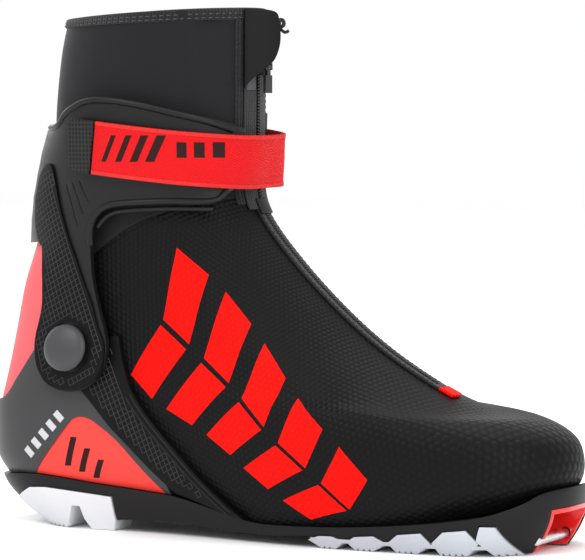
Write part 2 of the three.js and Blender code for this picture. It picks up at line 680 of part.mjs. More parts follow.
// ---------------------------------------------------------------- zip
const front = (half, x = -30) =>
  block(x * kx, BOOT_LENGTH, -half, half, 0, 2 * BOOT_HEIGHT);
function zipTape(side) {
  return layer(GAP, TAPE_OUT, 8, RIM_EDGE)
    .intersect(over(HIGH_EDGE))
    .intersect(front(ZIP_HALF))
    .intersect(halfSpace(side, TEETH_HALF + GAP));
}
add("zip_tape_lateral", zipTape(OUTER), FINISH.knit);
add("zip_tape_medial", zipTape(INNER), FINISH.knit);
add(
  "zip_teeth",
  layer(GAP, TEETH_OUT, 8, RIM_EDGE).intersect(over(HIGH_EDGE)).intersect(front(TEETH_HALF)),
  FINISH.shell,
);
const instep = (half) =>
  block(-40 * kx, 74 * kx, -half, half, 60 * kz, 2 * BOOT_HEIGHT);
add(
  "instep_zip_tape",
  layer(GAP, TAPE_OUT, 4, 9).intersect(under(LOW_EDGE)).intersect(instep(INSTEP_ZIP_HALF)),
  FINISH.knit,
);
add(
  "instep_zip_teeth",
  layer(TAPE_OUT + GAP, TAPE_OUT + GAP + 1.2, 4, 9)
    .intersect(under(LOW_EDGE))
    .intersect(instep(TEETH_HALF - 0.5)),
  FINISH.shell,
);
add(
  "zip_bend",
  layer(GAP, TAPE_OUT + 0.5, 6, 10).intersect(between).intersect(instep(INSTEP_ZIP_HALF)),
  FINISH.knit,
);
add(
  "zip_end_tag",
  layer(GAP, TAPE_OUT + 0.4, 4, 9).intersect(
    block(74.5 * kx, 80.5 * kx, -INSTEP_ZIP_HALF, INSTEP_ZIP_HALF, 55 * kz, 90 * kz),
  ),
  FINISH.red,
);

const SLIDER = { z: 198, height: 9, half: 3.8, thickness: 1.6 };
const PULL_EYE = 1.1;
const zipFront = offsetPoint(LAST, 11.9, Math.PI, TEETH_OUT).x;
const sliderFace = zipFront + GAP + SLIDER.thickness;
const pullPin = { x: sliderFace + GAP + PULL_EYE, z: (SLIDER.z - 1) * kz, radius: 0.6 };
function zipSlider() {
  const body = block(
    zipFront + GAP, sliderFace, -SLIDER.half, SLIDER.half,
    (SLIDER.z - SLIDER.height / 2) * kz, (SLIDER.z + SLIDER.height / 2) * kz,
  );
  const lug = (side) =>
    block(
      sliderFace - 0.5, pullPin.x + 0.9, ...sided(side, 1.9, 2.9), pullPin.z - 1.3, pullPin.z + 1.6,
    );
  const pin = rod(pullPin.x, pullPin.z, pullPin.radius, -2.4, 2.4, 12);
  return body.add(lug(OUTER)).add(lug(INNER)).add(pin);
}
add("zip_slider", zipSlider(), FINISH.shell);
function zipPull() {
  const eye = rod(pullPin.x, pullPin.z, PULL_EYE, -1.5, 1.5, 16);
  const tab = block(
    pullPin.x - 0.5, pullPin.x + 0.7, -1.5, 1.5, pullPin.z - 4, pullPin.z - 1,
  ).add(
    block(pullPin.x - 0.5, pullPin.x + 0.7, -3, 3, pullPin.z - 11, pullPin.z - 3.5),
  );
  return eye.add(tab).subtract(rod(pullPin.x, pullPin.z, pullPin.radius + 0.15, -4, 4, 16));
}
add("zip_pull", zipPull(), FINISH.knit);

// ---------------------------------------------------------------- strap
const STRAP_TOP = [[-90, 176.5], [-65, 174.6], [-30, 170.6], [0, 167.7], [20, 166.5]];
const strapSide = (inset = 0) =>
  through([...raised(STRAP_TOP, -inset), ...raised(STRAP_TOP, inset - STRAP_WIDTH).reverse()]);
const lateralFrom = (x0, x1) => block(x0 * kx, x1 * kx, -WIDE, 0, 0, 2 * BOOT_HEIGHT);

// The point of an offset on the inner side at a given x, half way up the strap.
function medialPoint(x, offset) {
  let best = { gap: Infinity, point: null };
  for (let a = Math.PI; a < 1.7 * Math.PI; a += 0.005) {
    const point = offsetPoint(LAST, 10.1, a, offset);
    const gap = Math.abs(point.x - x);
    if (gap < best.gap) best = { gap, point };
  }
  return best.point;
}
const anchorAt = medialPoint(STRAP_START * kx, (STRAP_IN + STRAP_OUT) / 2);
const ANCHOR = { pin: 1.5, sleeve: 2.7, lug: 2.4, low: 150.2, high: 170.6 };
const upright = (radius, z0, z1, sides = 32) => {
  const geometry = new THREE.CylinderGeometry(radius, radius, z1 - z0, sides);
  geometry.rotateX(Math.PI / 2).translate(anchorAt.x, anchorAt.y, (z0 + z1) / 2);
  return solidOf(geometry);
};
const medialBox = (x0, x1, z0, z1) =>
  block(anchorAt.x + x0, anchorAt.x + x1, 0, WIDE, z0, z1);
const [anchorLow, anchorHigh] = [ANCHOR.low * kz, ANCHOR.high * kz];
const [sleeveLow, sleeveHigh] = [anchorLow + ANCHOR.lug, anchorHigh - ANCHOR.lug];

function strapAnchor() {
  const base = layer(CUFF_OUT + GAP, CUFF_OUT + GAP + 1.2, 9, 12).intersect(
    medialBox(-10, 2, anchorLow, anchorHigh),
  );
  const lugs = layer(CUFF_OUT + GAP, STRAP_OUT + 1, 9, 12).intersect(
    medialBox(-7, 2, anchorLow, anchorHigh),
  );
  const room = medialBox(-20, 10, sleeveLow - GAP, sleeveHigh + GAP);
  return base
    .subtract(upright(ANCHOR.sleeve + GAP, sleeveLow - GAP, sleeveHigh + GAP))
    .add(lugs.subtract(room))
    .add(upright(ANCHOR.pin, anchorLow + 0.5, anchorHigh - 0.5));
}

// At its front fold the strap is pulled in towards the zip, more so at its lower edge.
function pulled(s, a) {
  const fold = Math.exp(-(((a - Math.PI - 0.06) / 0.42) ** 2));
  return (3.9 + 2.6 * Math.max(0, 10.6 - s)) * fold;
}
const strapLayer = layer(STRAP_IN, STRAP_OUT, 9, 11, pulled);
const gripStart = STRAP_END + GRIP_LENGTH;
function strapWebbing() {
  const medial = block(anchorAt.x + 3.2, BOOT_LENGTH, -0.01, WIDE, 0, 2 * BOOT_HEIGHT);
  const neck = strapLayer.intersect(medialBox(0, 4, sleeveLow, sleeveHigh));
  return strapLayer
    .intersect(strapSide())
    .intersect(lateralFrom(gripStart, BOOT_LENGTH).add(medial))
    .add(neck)
    .add(upright(ANCHOR.sleeve, sleeveLow, sleeveHigh))
    .subtract(upright(ANCHOR.pin + 0.08, 0, 2 * BOOT_HEIGHT));
}

function strapGrip() {
  const end = [[STRAP_END + 3, 176], [gripStart - GAP, 180], [gripStart - GAP, 148],
    [STRAP_END + 3, 152.5], [STRAP_END, 156], [STRAP_END, 172.5]];
  return layer(STRAP_IN, STRAP_OUT + 0.6, 8, 12)
    .intersect(strapSide())
    .intersect(across(outline(end), -WIDE, 0));
}

const patch = (inner, outer, x0, x1) =>
  layer(inner, outer, 8, 12).intersect(strapSide(2)).intersect(lateralFrom(x0, x1));
add("strap_anchor", strapAnchor(), FINISH.steel);
add("strap_webbing", strapWebbing(), FINISH.webbing);
add("strap_grip", strapGrip(), FINISH.cuff);
add("strap_hook_patch", patch(LOOP_OUT + GAP, HOOK_OUT, -74, -40), FINISH.knit);
add("strap_loop_patch", patch(CUFF_OUT + GAP, LOOP_OUT, -76, -30), FINISH.knit);

// ---------------------------------------------------------------- pull tab over the zip
const TAB = { low: 188, high: 221.5, reach: 16, thickness: 1.6, lean: 45 };
const TAB_EDGE = [[0, 0], [0.17, 0.1], [0.56, 0.25], [0.83, 0.37], [0.98, 0.58], [0.96, 0.82],
  [0.84, 0.96], [0.3, 1]]; // in shares of its reach and height
function collarTab() {
  const root = instepPoint(11.9, -ZIP_HALF - 1.2, TAPE_OUT + 0.5);
  const [low, high] = [TAB.low * kz, TAB.high * kz];
  const height = high - low;
  const edge = new THREE.SplineCurve(
    TAB_EDGE.map(([u, w]) => new THREE.Vector2(u * TAB.reach, low + w * height)),
  );
  const shape = new THREE.Shape([...edge.getPoints(16), new THREE.Vector2(0, high)]);
  const geometry = new THREE.ExtrudeGeometry(shape, {
    depth: TAB.thickness,
    bevelEnabled: false,
  });
  geometry.rotateX(Math.PI / 2).rotateZ((TAB.lean * Math.PI) / 180);
  return solidOf(geometry.translate(root.x, root.y, 0));
}
add("collar_tab", collarTab(), FINISH.softshell);

export default boot;
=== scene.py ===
"""Cross-country combi boot: the fine surfaces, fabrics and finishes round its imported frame.

Every layer of the upper lies at an offset of one lasted surface, so each piece is a
primitive laid on that surface and cut to its outline in side view. Sizes are in
millimetres here and become metres where a mesh is made.
"""

import logging
import math
from collections.abc import Callable
from dataclasses import dataclass
from enum import Enum

import bpy
import numpy as np
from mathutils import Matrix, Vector

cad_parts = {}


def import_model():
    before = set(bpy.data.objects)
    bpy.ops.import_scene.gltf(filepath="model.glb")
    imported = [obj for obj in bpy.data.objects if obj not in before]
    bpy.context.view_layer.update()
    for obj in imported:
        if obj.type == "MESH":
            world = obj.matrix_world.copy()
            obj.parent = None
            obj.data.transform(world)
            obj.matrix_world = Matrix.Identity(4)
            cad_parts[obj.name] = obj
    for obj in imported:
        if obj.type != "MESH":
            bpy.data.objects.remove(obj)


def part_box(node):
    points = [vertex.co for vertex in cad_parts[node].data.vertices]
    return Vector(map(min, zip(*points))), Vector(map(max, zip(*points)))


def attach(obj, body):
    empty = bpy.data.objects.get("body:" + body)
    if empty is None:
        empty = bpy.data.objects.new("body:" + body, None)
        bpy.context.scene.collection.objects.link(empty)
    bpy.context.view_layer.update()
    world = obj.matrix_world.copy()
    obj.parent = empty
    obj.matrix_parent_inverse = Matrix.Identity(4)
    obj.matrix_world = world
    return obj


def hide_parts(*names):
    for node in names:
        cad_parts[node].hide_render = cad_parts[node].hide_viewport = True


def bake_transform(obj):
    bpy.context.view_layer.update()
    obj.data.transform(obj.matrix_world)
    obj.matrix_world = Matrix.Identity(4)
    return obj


log = logging.getLogger("boot")
MM = 0.001
SPAN = 90.0
BEHIND, REAR, AHEAD = -200.0, -160.0, 200.0
UNDER, OVER = -40.0, 260.0
SMOOTH_ANGLE = math.radians(38)
BEVEL_ANGLE = math.radians(42)
Outline = list[tuple[float, float]]
Colour = tuple[float, float, float, float]


class Side(Enum):
    """Side of the foot; the value is the sign of Y."""

    OUTER = -1
    INNER = 1

    @property
    def part(self) -> str:
        """The side's name in the record's nodes."""
        return "lateral" if self is Side.OUTER else "medial"

    @property
    def word(self) -> str:
        """The side's plain name."""
        return self.name.lower()


# ------------------------------------------------------------------ lasted surface


@dataclass(frozen=True)
class Section:
    """One section of the last: where it meets the heel and instep lines, and its widths."""

    back: tuple[float, float]
    front: tuple[float, float]
    heel: float
    ball: float
    heel_cap: float
    toe_cap: float
    sag: float = 0.0

    def row(self) -> list[float]:
        """Returns the section's numbers in the order the surface reads them."""
        return [*self.back, *self.front, self.heel, self.ball, self.heel_cap, self.toe_cap, self.sag]


UPPER_SECTIONS = (
    Section((-126, 21), (125.5, 20), 27, 38.5, 32, 46, 14.5),
    Section((-131.6, 29), (132.3, 27.5), 30.5, 43.5, 34, 52, 12),
    Section((-133.2, 38), (134, 36), 32, 45, 35, 55, 7),
    Section((-132.6, 50), (130, 45.5), 32.8, 44.5, 37, 56, 2),
    Section((-130.2, 62), (116, 52.5), 33.4, 42, 45, 60),
    Section((-127.6, 76), (92, 56), 34, 38, 60, 62),
    Section((-125, 89), (64, 69.5), 34, 35, 66, 63),
    Section((-121.5, 104), (37, 88), 33.4, 33, 62, 64),
    Section((-115, 121), (9, 114), 33.6, 33, 52, 60),
    Section((-109, 140), (-9.5, 138), 35, 34.5, 49, 50),
    Section((-106, 160), (-12, 160), 36.4, 36, 47, 47),
    Section((-104.5, 182), (-12, 182), 37, 37, 46, 46),
    Section((-102, 203), (-12, 204), 36.2, 37.5, 45, 45),
    Section((-98.5, 217), (-12, 222), 35.8, 38, 43.2, 43.2),
)
SOLE_SECTIONS = (
    Section((-109, 0), (126.5, 0), 25.5, 38, 28, 34),
    Section((-121, 8), (131.5, 8), 28.5, 43, 31, 38),
    Section((-130.5, 17), (135, 17), 31, 46.3, 34, 48),
    Section((-134.2, 27), (135.5, 29), 32.8, 47, 36, 54),
    Section((-136, 40), (136, 40), 34, 47.5, 38, 56),
)
TOE_SWING = 4.0
HALF_LENGTH = 135.0
SAG_CENTRE = 35.0
SAG_REACH = 55.0


def eased(t: np.ndarray) -> np.ndarray:
    """Returns t held to 0..1 and eased at both ends."""
    t = np.clip(t, 0, 1)
    return t * t * (3 - 2 * t)


def round_end(d: np.ndarray) -> np.ndarray:
    """Returns the half width of a round end at d from it, both as shares of its length."""
    return np.sqrt(np.maximum(0, 1 - (1 - np.clip(d, 0, 1)) ** 2))


class Surface:
    """A surface of round sections stacked from the feather edge to the rim."""

    def __init__(self, sections: tuple[Section, ...]) -> None:
        """Args:
        sections: from the lowest to the highest.
        """
        self.table = np.array([s.row() for s in sections], float)
        self.top = len(sections) - 1

    def _level(self, s: np.ndarray) -> np.ndarray:
        """Returns the section numbers at the levels s, on smooth curves."""
        i = np.clip(np.floor(s).astype(int), 0, self.top - 1)
        t = (s - i)[..., None]
        p0, p1, p2, p3 = (self.table[np.clip(i + k, 0, self.top)] for k in (-1, 0, 1, 2))
        m1, m2 = (p2 - p0) / 2, (p3 - p1) / 2
        return (
            (2 * t**3 - 3 * t**2 + 1) * p1
            + (t**3 - 2 * t**2 + t) * m1
            + (3 * t**2 - 2 * t**3) * p2
            + (t**3 - t**2) * m2
        )

    def point(self, s: np.ndarray, a: np.ndarray) -> np.ndarray:
        """Returns the points at levels s and angles a, from the heel over the outer side."""
        c = self._level(np.asarray(s, float))
        bx, bz, fx, fz, heel, ball, heel_cap, toe_cap, sag = np.moveaxis(c, -1, 0)
        u = (1 - np.cos(a)) / 2
        x = bx + (fx - bx) * u
        reach = fx - bx
        half = heel + (ball - heel) * eased((u - 0.2) / 0.5)
        half = half * round_end(u * reach / heel_cap) * round_end((1 - u) * reach / toe_cap)
        z = bz + (fz - bz) * u - sag / (1 + ((x - SAG_CENTRE) / SAG_REACH) ** 4)
        swing = TOE_SWING * np.clip(x / HALF_LENGTH, 0, 1) ** 2
        side = np.where(np.mod(a, 2 * math.pi) <= math.pi, -1.0, 1.0)
        return np.stack([x, side * half + swing, z], -1)

    def offset(self, s: np.ndarray, a: np.ndarray, d: np.ndarray) -> np.ndarray:
        """Returns the points moved outwards by d."""
        h = 0.02
        s, a = np.broadcast_arrays(np.asarray(s, float), np.asarray(a, float))
        up = self.point(np.minimum(s + h, self.top), a) - self.point(np.maximum(s - h, 0), a)
        turn = np.mod(a + h, 2 * math.pi), np.mod(a - h, 2 * math.pi)
        around = self.point(s, turn[0]) - self.point(s, turn[1])
        normal = np.cross(around, up)
        normal /= np.linalg.norm(normal, axis=-1, keepdims=True) + 1e-12
        return self.point(s, a) + normal * np.asarray(d, float)[..., None]

    @staticmethod
    def out(s: np.ndarray, a: np.ndarray, d: float, draw: "Draw | None") -> np.ndarray:
        """Returns the offset d of a layer, with what it draws, at levels s and angles a."""
        return np.full(s.shape, d) + (0 if draw is None else draw.at(s, a))

    def lay(self, points: Outline, side: Side, d: float, draw: "Draw | None" = None) -> np.ndarray:
        """Returns the points of the offset surface that lie under a side-view line.

        Args:
            points: x and z of each.
            side: which side of the boot.
            d: the offset.
            draw: how the layer leaves its even offset.

        Returns:
            The points in space, in millimetres, found by Newton's steps from the nearest of a grid.
        """
        want = np.array(points, float)
        sign = 1.0 if side is Side.OUTER else -1.0
        s, a = np.meshgrid(np.linspace(0, self.top, 150), np.linspace(0.05, math.pi - 0.05, 130))
        s, a = s.ravel(), a.ravel()
        seen = self.offset(s, sign * a, self.out(s, a, d, draw))
        nearest = [np.argmin((seen[:, 0] - x) ** 2 + (seen[:, 2] - z) ** 2) for x, z in want]
        s, a = s[nearest], a[nearest]
        h = 1e-3
        for _ in range(5):
            d0 = self.out(s, a, d, draw)
            p = self.offset(s, sign * a, d0)[:, [0, 2]]
            ds = (self.offset(s + h, sign * a, d0)[:, [0, 2]] - p) / h
            da = (self.offset(s, sign * (a + h), d0)[:, [0, 2]] - p) / h
            det = ds[:, 0] * da[:, 1] - ds[:, 1] * da[:, 0]
            det = np.where(np.abs(det) < 1e-3, 1e-3, det)
            e = want - p
            step_s = (e[:, 0] * da[:, 1] - e[:, 1] * da[:, 0]) / det
            step_a = (ds[:, 0] * e[:, 1] - ds[:, 1] * e[:, 0]) / det
            s = np.clip(s + np.clip(step_s, -0.2, 0.2), 0, self.top - 0.03)
            a = np.clip(a + np.clip(step_a, -0.1, 0.1), 0.02, math.pi - 0.02)
        return self.offset(s, sign * a, self.out(s, a, d, draw))

    def near(self, s: float, y: float, d: float, front: bool = True) -> np.ndarray:
        """Returns the point at level s and y from the middle, at the front or the back."""
        a = np.linspace(math.pi / 2, math.pi, 400) if front else np.linspace(math.pi / 2, 0, 400)
        p = self.offset(np.full(a.shape, float(s)), a if y < 0 else 2 * math.pi - a, np.full(a.shape, d))
        swing = p[-1, 1]
        reach = np.abs(p[:, 1] - swing)
        order = np.argsort(reach)
        return np.array([np.interp(abs(y), reach[order], p[order, k]) for k in range(3)])


UPPER = Surface(UPPER_SECTIONS)
SOLE = Surface(SOLE_SECTIONS)


@dataclass(frozen=True)
class Stack:
    """How far out each layer of the boot lies, from the last outwards."""

    gap: float = 0.3
    skin: float = 2.0
    liner: float = 3.6
    counter: float = 2.3
    arm_rise: float = 0.4
    hinge: float = 1.6
    cuff: float = 2.6
    grip: float = 0.7
    pad: float = 0.9
    strap: float = 1.5
    tape: float = 0.9

    @property
    def counter_out(self) -> float:
        """Outside of the heel counter."""
        return self.gap + self.counter

    @property
    def arm_out(self) -> float:
        """Outside of the stabiliser arms."""
        return self.counter_out + self.arm_rise

    @property
    def cuff_in(self) -> float:
        """Inside of the cuff."""
        return self.arm_out + self.hinge

    @property
    def cuff_out(self) -> float:
        """Outside of the cuff."""
        return self.cuff_in + self.cuff

    @property
    def strap_in(self) -> float:
        """Inside of the strap."""
        return self.cuff_out + 2 * (self.gap + self.pad) + self.gap

    @property
    def strap_out(self) -> float:
        """Outside of the strap."""
        return self.strap_in + self.strap

    @property
    def liner_out(self) -> float:
        """Outside of the lining."""
        return -self.skin - self.gap

    @property
    def liner_in(self) -> float:
        """Inside of the lining."""
        return self.liner_out - self.liner


STACK = Stack()
PIVOT = (-80.3, 78.7)
PIVOT_LOBE = 19.0
PIVOT_BORE = 4.3
BAR = (124.5, 5.6, 2.0)
AROUND = 200


# ------------------------------------------------------------------ outlines in side view


def smooth(points: Outline, parts: int = 8) -> Outline:
    """Returns a smooth open curve through the points.

    Args:
        points: what it passes through.
        parts: how many steps between two of them.
    """
    p = np.array([points[0], *points, points[-1]], float)
    out = []
    for i in range(1, len(p) - 2):
        for t in np.linspace(0, 1, parts, endpoint=False):
            out.append(
                tuple(
                    0.5
                    * (
                        2 * p[i]
                        + (p[i + 1] - p[i - 1]) * t
                        + (2 * p[i - 1] - 5 * p[i] + 4 * p[i + 1] - p[i + 2]) * t * t
                        + (3 * p[i] - p[i - 1] - 3 * p[i + 1] + p[i + 2]) * t**3
                    )
                )
            )
    return [*out, tuple(p[-1])]


def raised(points: Outline, dz: float) -> Outline:
    """Returns the outline moved up by dz."""
    return [(x, z + dz) for x, z in points]


def circle(x: float, z: float, r: float, parts: int = 64) -> Outline:
    """Returns a circle as an outline."""
    t = np.linspace(0, 2 * math.pi, parts, endpoint=False)
    return [(x + r * math.cos(k), z + r * math.sin(k)) for k in t]


def resampled(points: Outline, step: float) -> Outline:
    """Returns the open curve with a point every step."""
    p = np.array(points, float)
    run = np.concatenate([[0], np.cumsum(np.linalg.norm(np.diff(p, axis=0), axis=1))])
    t = np.linspace(0, run[-1], max(2, round(run[-1] / step) + 1))
    return list(zip(np.interp(t, run, p[:, 0]), np.interp(t, run, p[:, 1])))


# ------------------------------------------------------------------ modelling


def active(obj: bpy.types.Object) -> bpy.types.Object:
    """Makes obj the only selected object, and returns it."""
    bpy.ops.object.select_all(action="DESELECT")
    obj.select_set(True)
    bpy.context.view_layer.objects.active = obj
    return obj


def apply_modifier(obj: bpy.types.Object, kind: str, **settings: object) -> None:
    """Adds a modifier with its settings, and applies it."""
    active(obj)
    modifier = obj.modifiers.new(kind.title(), kind)
    for key, value in settings.items():
        setattr(modifier, key, value)
    bpy.ops.object.modifier_apply(modifier=modifier.name)


def outward(obj: bpy.types.Object) -> None:
    """Turns every face of a closed mesh outwards."""
    active(obj)
    bpy.ops.object.mode_set(mode="EDIT")
    bpy.ops.mesh.select_all(action="SELECT")
    bpy.ops.mesh.normals_make_consistent(inside=False)
    bpy.ops.object.mode_set(mode="OBJECT")


def coordinates(obj: bpy.types.Object) -> np.ndarray:
    """Returns the mesh's vertices, one row each."""
    flat = np.empty(len(obj.data.vertices) * 3)
    obj.data.vertices.foreach_get("co", flat)
    return flat.reshape(-1, 3)


def move_to(obj: bpy.types.Object, points: np.ndarray) -> None:
    """Puts the mesh's vertices at points in millimetres."""
    obj.data.vertices.foreach_set("co", (points * MM).ravel())
    obj.data.update()


class Draw:
    """How far a layer stands out from its even offset, at levels s and angles a."""

    def at(self, s: np.ndarray, a: np.ndarray) -> np.ndarray:
        """Returns the distance outwards."""
        return np.zeros(np.shape(s))


@dataclass(frozen=True)
class Wave(Draw):
    """Shallow swells, as soft material has over a last: none below the level fade."""

    height: float
    fade: float = 0.0
    crease: float = 0.0

    def at(self, s: np.ndarray, a: np.ndarray) -> np.ndarray:
        """Returns how far out the swells push."""
        rise = np.clip((s - self.fade) / 1.5, 0, 1) * np.abs(np.sin(a)) ** 1.5
        swell = (
            0.55 * np.sin(2.1 * s + 3.0 * a)
            + 0.3 * np.sin(3.7 * s - 5.0 * a + 1.3)
            + 0.25 * np.sin(1.3 * s + 9.0 * a + 0.4)
        )
        turn = np.minimum(a, 2 * math.pi - a)
        line = turn - (2.2 + 0.12 * np.clip(12.9 - s, 0, 2.5))
        fold = 0.9 * np.exp(-((line / 0.11) ** 2)) - np.exp(-(((line - 0.24) / 0.15) ** 2))
        return rise * (self.height * swell + self.crease * fold * np.clip((s - 10.6) / 1.2, 0, 1))


@dataclass(frozen=True)
class Hug(Draw):
    """The cuff draws in behind the ankle, at its lower edge and again at its top."""

    levels: tuple[float, ...] = (7, 7.5, 8, 8.5, 9, 9.5, 10, 10.5, 11, 13)
    draws: tuple[float, ...] = (0, 1.2, 3.4, 1.2, 0, 0.4, 1.6, 3.9, 6, 6)
    free: float = 0.6

    def at(self, s: np.ndarray, a: np.ndarray) -> np.ndarray:
        """Returns how far out it stands, which is inwards throughout."""
        turn = np.minimum(np.mod(a, 2 * math.pi), 2 * math.pi - np.mod(a, 2 * math.pi))
        return -np.interp(s, self.levels, self.draws) * (1 - eased((turn - self.free) / self.free))


@dataclass(frozen=True)
class Fold(Draw):
    """The strap's front fold is pulled in towards the zip, more so at its lower edge."""

    near: float = 3.9
    slope: float = 2.6
    centre: float = math.pi + 0.06
    spread: float = 0.42

    def at(self, s: np.ndarray, a: np.ndarray) -> np.ndarray:
        """Returns how far out it stands, which is inwards throughout."""
        away = np.mod(a, 2 * math.pi) - self.centre
        return -(self.near + self.slope * np.maximum(0, 10.6 - s)) * np.exp(-((away / self.spread) ** 2))


def band(
    name: str,
    surface: Surface,
    loop: Outline,
    around: int = 160,
    draw: Draw | None = None,
    flat: bool = False,
) -> bpy.types.Object:
    """Lays a torus on the surface as a closed band round it.

    Args:
        name: the piece's name.
        surface: what it lies on.
        loop: its cross-section, a closed list of (level, offset).
        around: facets round the boot.
        draw: how it leaves its even offset.
        flat: whether its UV map is flattened like a cut pattern, and not unrolled.
    """
    bpy.ops.object.select_all(action="DESELECT")
    bpy.ops.mesh.primitive_torus_add(
        major_segments=around, minor_segments=len(loop), major_radius=1, minor_radius=0.25
    )
    obj = bpy.context.object
    obj.name = obj.data.name = name
    v = coordinates(obj)
    major = np.mod(np.round(np.arctan2(v[:, 1], v[:, 0]) / (2 * math.pi) * around), around).astype(int)
    turn = np.arctan2(v[:, 2], np.hypot(v[:, 0], v[:, 1]) - 1) / (2 * math.pi)
    minor = np.mod(np.round(turn * len(loop)), len(loop)).astype(int)
    angles = np.arange(around) * 2 * math.pi / around
    level, offset = (np.array(c, float) for c in zip(*loop))
    s, a = np.meshgrid(level, angles)
    d = np.broadcast_to(offset, s.shape)
    if draw is not None:
        d = d + draw.at(s, a)
    grid = surface.offset(s, a, d)
    move_to(obj, grid[major, minor])
    outward(obj)
    if flat:
        flatten(obj, major)
    else:
        unroll(obj, surface, s, a, grid, major, minor)
    return obj


def flatten(obj: bpy.types.Object, major: np.ndarray) -> None:
    """Flattens the outside to the mesh's UV map in metres, slit along the heel."""
    active(obj)
    mesh = obj.data
    ends = np.empty(len(mesh.edges) * 2, int)
    mesh.edges.foreach_get("vertices", ends)
    heel = np.all(major[ends.reshape(-1, 2)] == 0, axis=1)
    mesh.edges.foreach_set("use_seam", heel)
    bpy.ops.object.mode_set(mode="EDIT")
    bpy.ops.mesh.select_all(action="DESELECT")
    bpy.ops.mesh.select_mode(type="EDGE")
    bpy.ops.mesh.edges_select_sharp(sharpness=math.radians(50))
    bpy.ops.mesh.mark_seam(clear=False)
    bpy.ops.mesh.select_all(action="SELECT")
    bpy.ops.uv.unwrap(method="ANGLE_BASED", margin=0.0)
    bpy.ops.object.mode_set(mode="OBJECT")
    layer_uv = mesh.uv_layers.active.data
    uv = np.empty(len(mesh.loops) * 2)
    layer_uv.foreach_get("uv", uv)
    uv = uv.reshape(-1, 2)
    corner = np.empty(len(mesh.loops), int)
    mesh.loops.foreach_get("vertex_index", corner)
    place = coordinates(obj)[corner].reshape(-1, 4, 3)
    quad = uv.reshape(-1, 4, 2)
    real, seen = (
        np.linalg.norm(q[:, 1] - q[:, 0], axis=1) * np.linalg.norm(q[:, 2] - q[:, 1], axis=1)
        for q in (place, quad)
    )
    uv *= math.sqrt(real.sum() / seen.sum())
    layer_uv.foreach_set("uv", uv.ravel())


def unroll(
    obj: bpy.types.Object,
    surface: Surface,
    s: np.ndarray,
    a: np.ndarray,
    grid: np.ndarray,
    major: np.ndarray,
    minor: np.ndarray,
) -> None:
    """Writes the unrolled surface to the mesh's UV map: metres round the boot and metres up it.

    Args:
        obj: the band.
        surface: what it lies on.
        s: the level of each point of its grid.
        a: the angle of each.
        grid: the points.
        major: each vertex's place round the boot.
        minor: each vertex's place round the cross-section.
    """
    step = np.linalg.norm(np.diff(grid, axis=0, append=grid[:1]), axis=-1)
    run = np.cumsum(step, axis=0) - step
    u = np.abs(run - run[len(run) // 2])
    table = np.linspace(0, surface.top, 8 * surface.top + 1)
    ts, ta = np.meshgrid(table, a[:, 0])
    climb = np.linalg.norm(np.diff(surface.point(ts, ta), axis=1), axis=-1)
    rise = np.concatenate([np.zeros((len(climb), 1)), np.cumsum(climb, axis=1)], axis=1)
    v = np.stack([np.interp(s[i], table, rise[i]) for i in range(len(s))])
    uv = np.stack([u, v], -1)[major, minor] * MM
    mesh = obj.data
    corner = np.empty(len(mesh.loops), int)
    mesh.loops.foreach_get("vertex_index", corner)
    centre = np.empty(len(mesh.polygons) * 3)
    mesh.polygons.foreach_get("center", centre)
    total = np.empty(len(mesh.polygons), int)
    mesh.polygons.foreach_get("loop_total", total)
    sign = np.repeat(np.where(centre.reshape(-1, 3)[:, 1] < 0, -1.0, 1.0), total)
    out = uv[corner]
    out[:, 0] *= sign
    mesh.uv_layers.active.data.foreach_set("uv", out.ravel())


def levels(low: float, high: float, per: int = 6) -> list[float]:
    """Returns the levels from low to high, about per of them to a section."""
    return list(np.linspace(low, high, max(3, round((high - low) * per) + 1)))


def layer(
    name: str,
    inner: float,
    outer: float,
    low: float,
    high: float,
    around: int = 160,
    draw: Draw | None = None,
    flat: bool = False,
) -> bpy.types.Object:
    """Returns the layer of the upper between two offsets and two levels.

    Args:
        name: the piece's name.
        inner: its inner offset.
        outer: its outer offset.
        low: its lowest level.
        high: its highest level.
        around: facets round the boot.
        draw: how it leaves its even offset.
        flat: whether its UV map is flattened like a cut pattern.
    """
    rows = levels(low, high)
    loop = [(s, outer) for s in rows] + [(s, inner) for s in reversed(rows)]
    return band(name, UPPER, loop, around, draw, flat)


HUG = Hug()
FOLD = Fold()


def prism(name: str, outline: Outline, y0: float = -SPAN, y1: float = SPAN) -> bpy.types.Object:
    """Returns a side-view outline carried across the boot from y0 to y1."""
    bpy.ops.object.select_all(action="DESELECT")
    bpy.ops.mesh.primitive_circle_add(vertices=len(outline), fill_type="NGON")
    obj = bpy.context.object
    obj.name = name
    v = coordinates(obj)
    turn = np.arctan2(v[:, 0], v[:, 1]) / (2 * math.pi) * len(outline)
    order = np.mod(np.round(turn), len(outline)).astype(int)
    points = np.array([(x, y0, z) for x, z in outline], float)[order]
    move_to(obj, points)
    active(obj)
    bpy.ops.object.mode_set(mode="EDIT")
    bpy.ops.mesh.select_all(action="SELECT")
    bpy.ops.mesh.extrude_region_move(TRANSFORM_OT_translate={"value": (0, (y1 - y0) * MM, 0)})
    bpy.ops.object.mode_set(mode="OBJECT")
    outward(obj)
    return obj


def box(name: str, low: tuple[float, float, float], high: tuple[float, float, float]) -> bpy.types.Object:
    """Returns a box between two corners in millimetres."""
    bpy.ops.object.select_all(action="DESELECT")
    bpy.ops.mesh.primitive_cube_add(size=1)
    obj = bpy.context.object
    obj.name = name
    v = coordinates(obj) + 0.5
    move_to(obj, np.array(low) + v * (np.array(high) - np.array(low)))
    return obj


def cut(obj: bpy.types.Object, tool: bpy.types.Object, operation: str = "INTERSECT") -> bpy.types.Object:
    """Cuts obj with a tool, which is used up, and returns obj."""
    apply_modifier(obj, "BOOLEAN", operation=operation, object=tool, solver="EXACT")
    bpy.data.objects.remove(tool, do_unlink=True)
    return obj


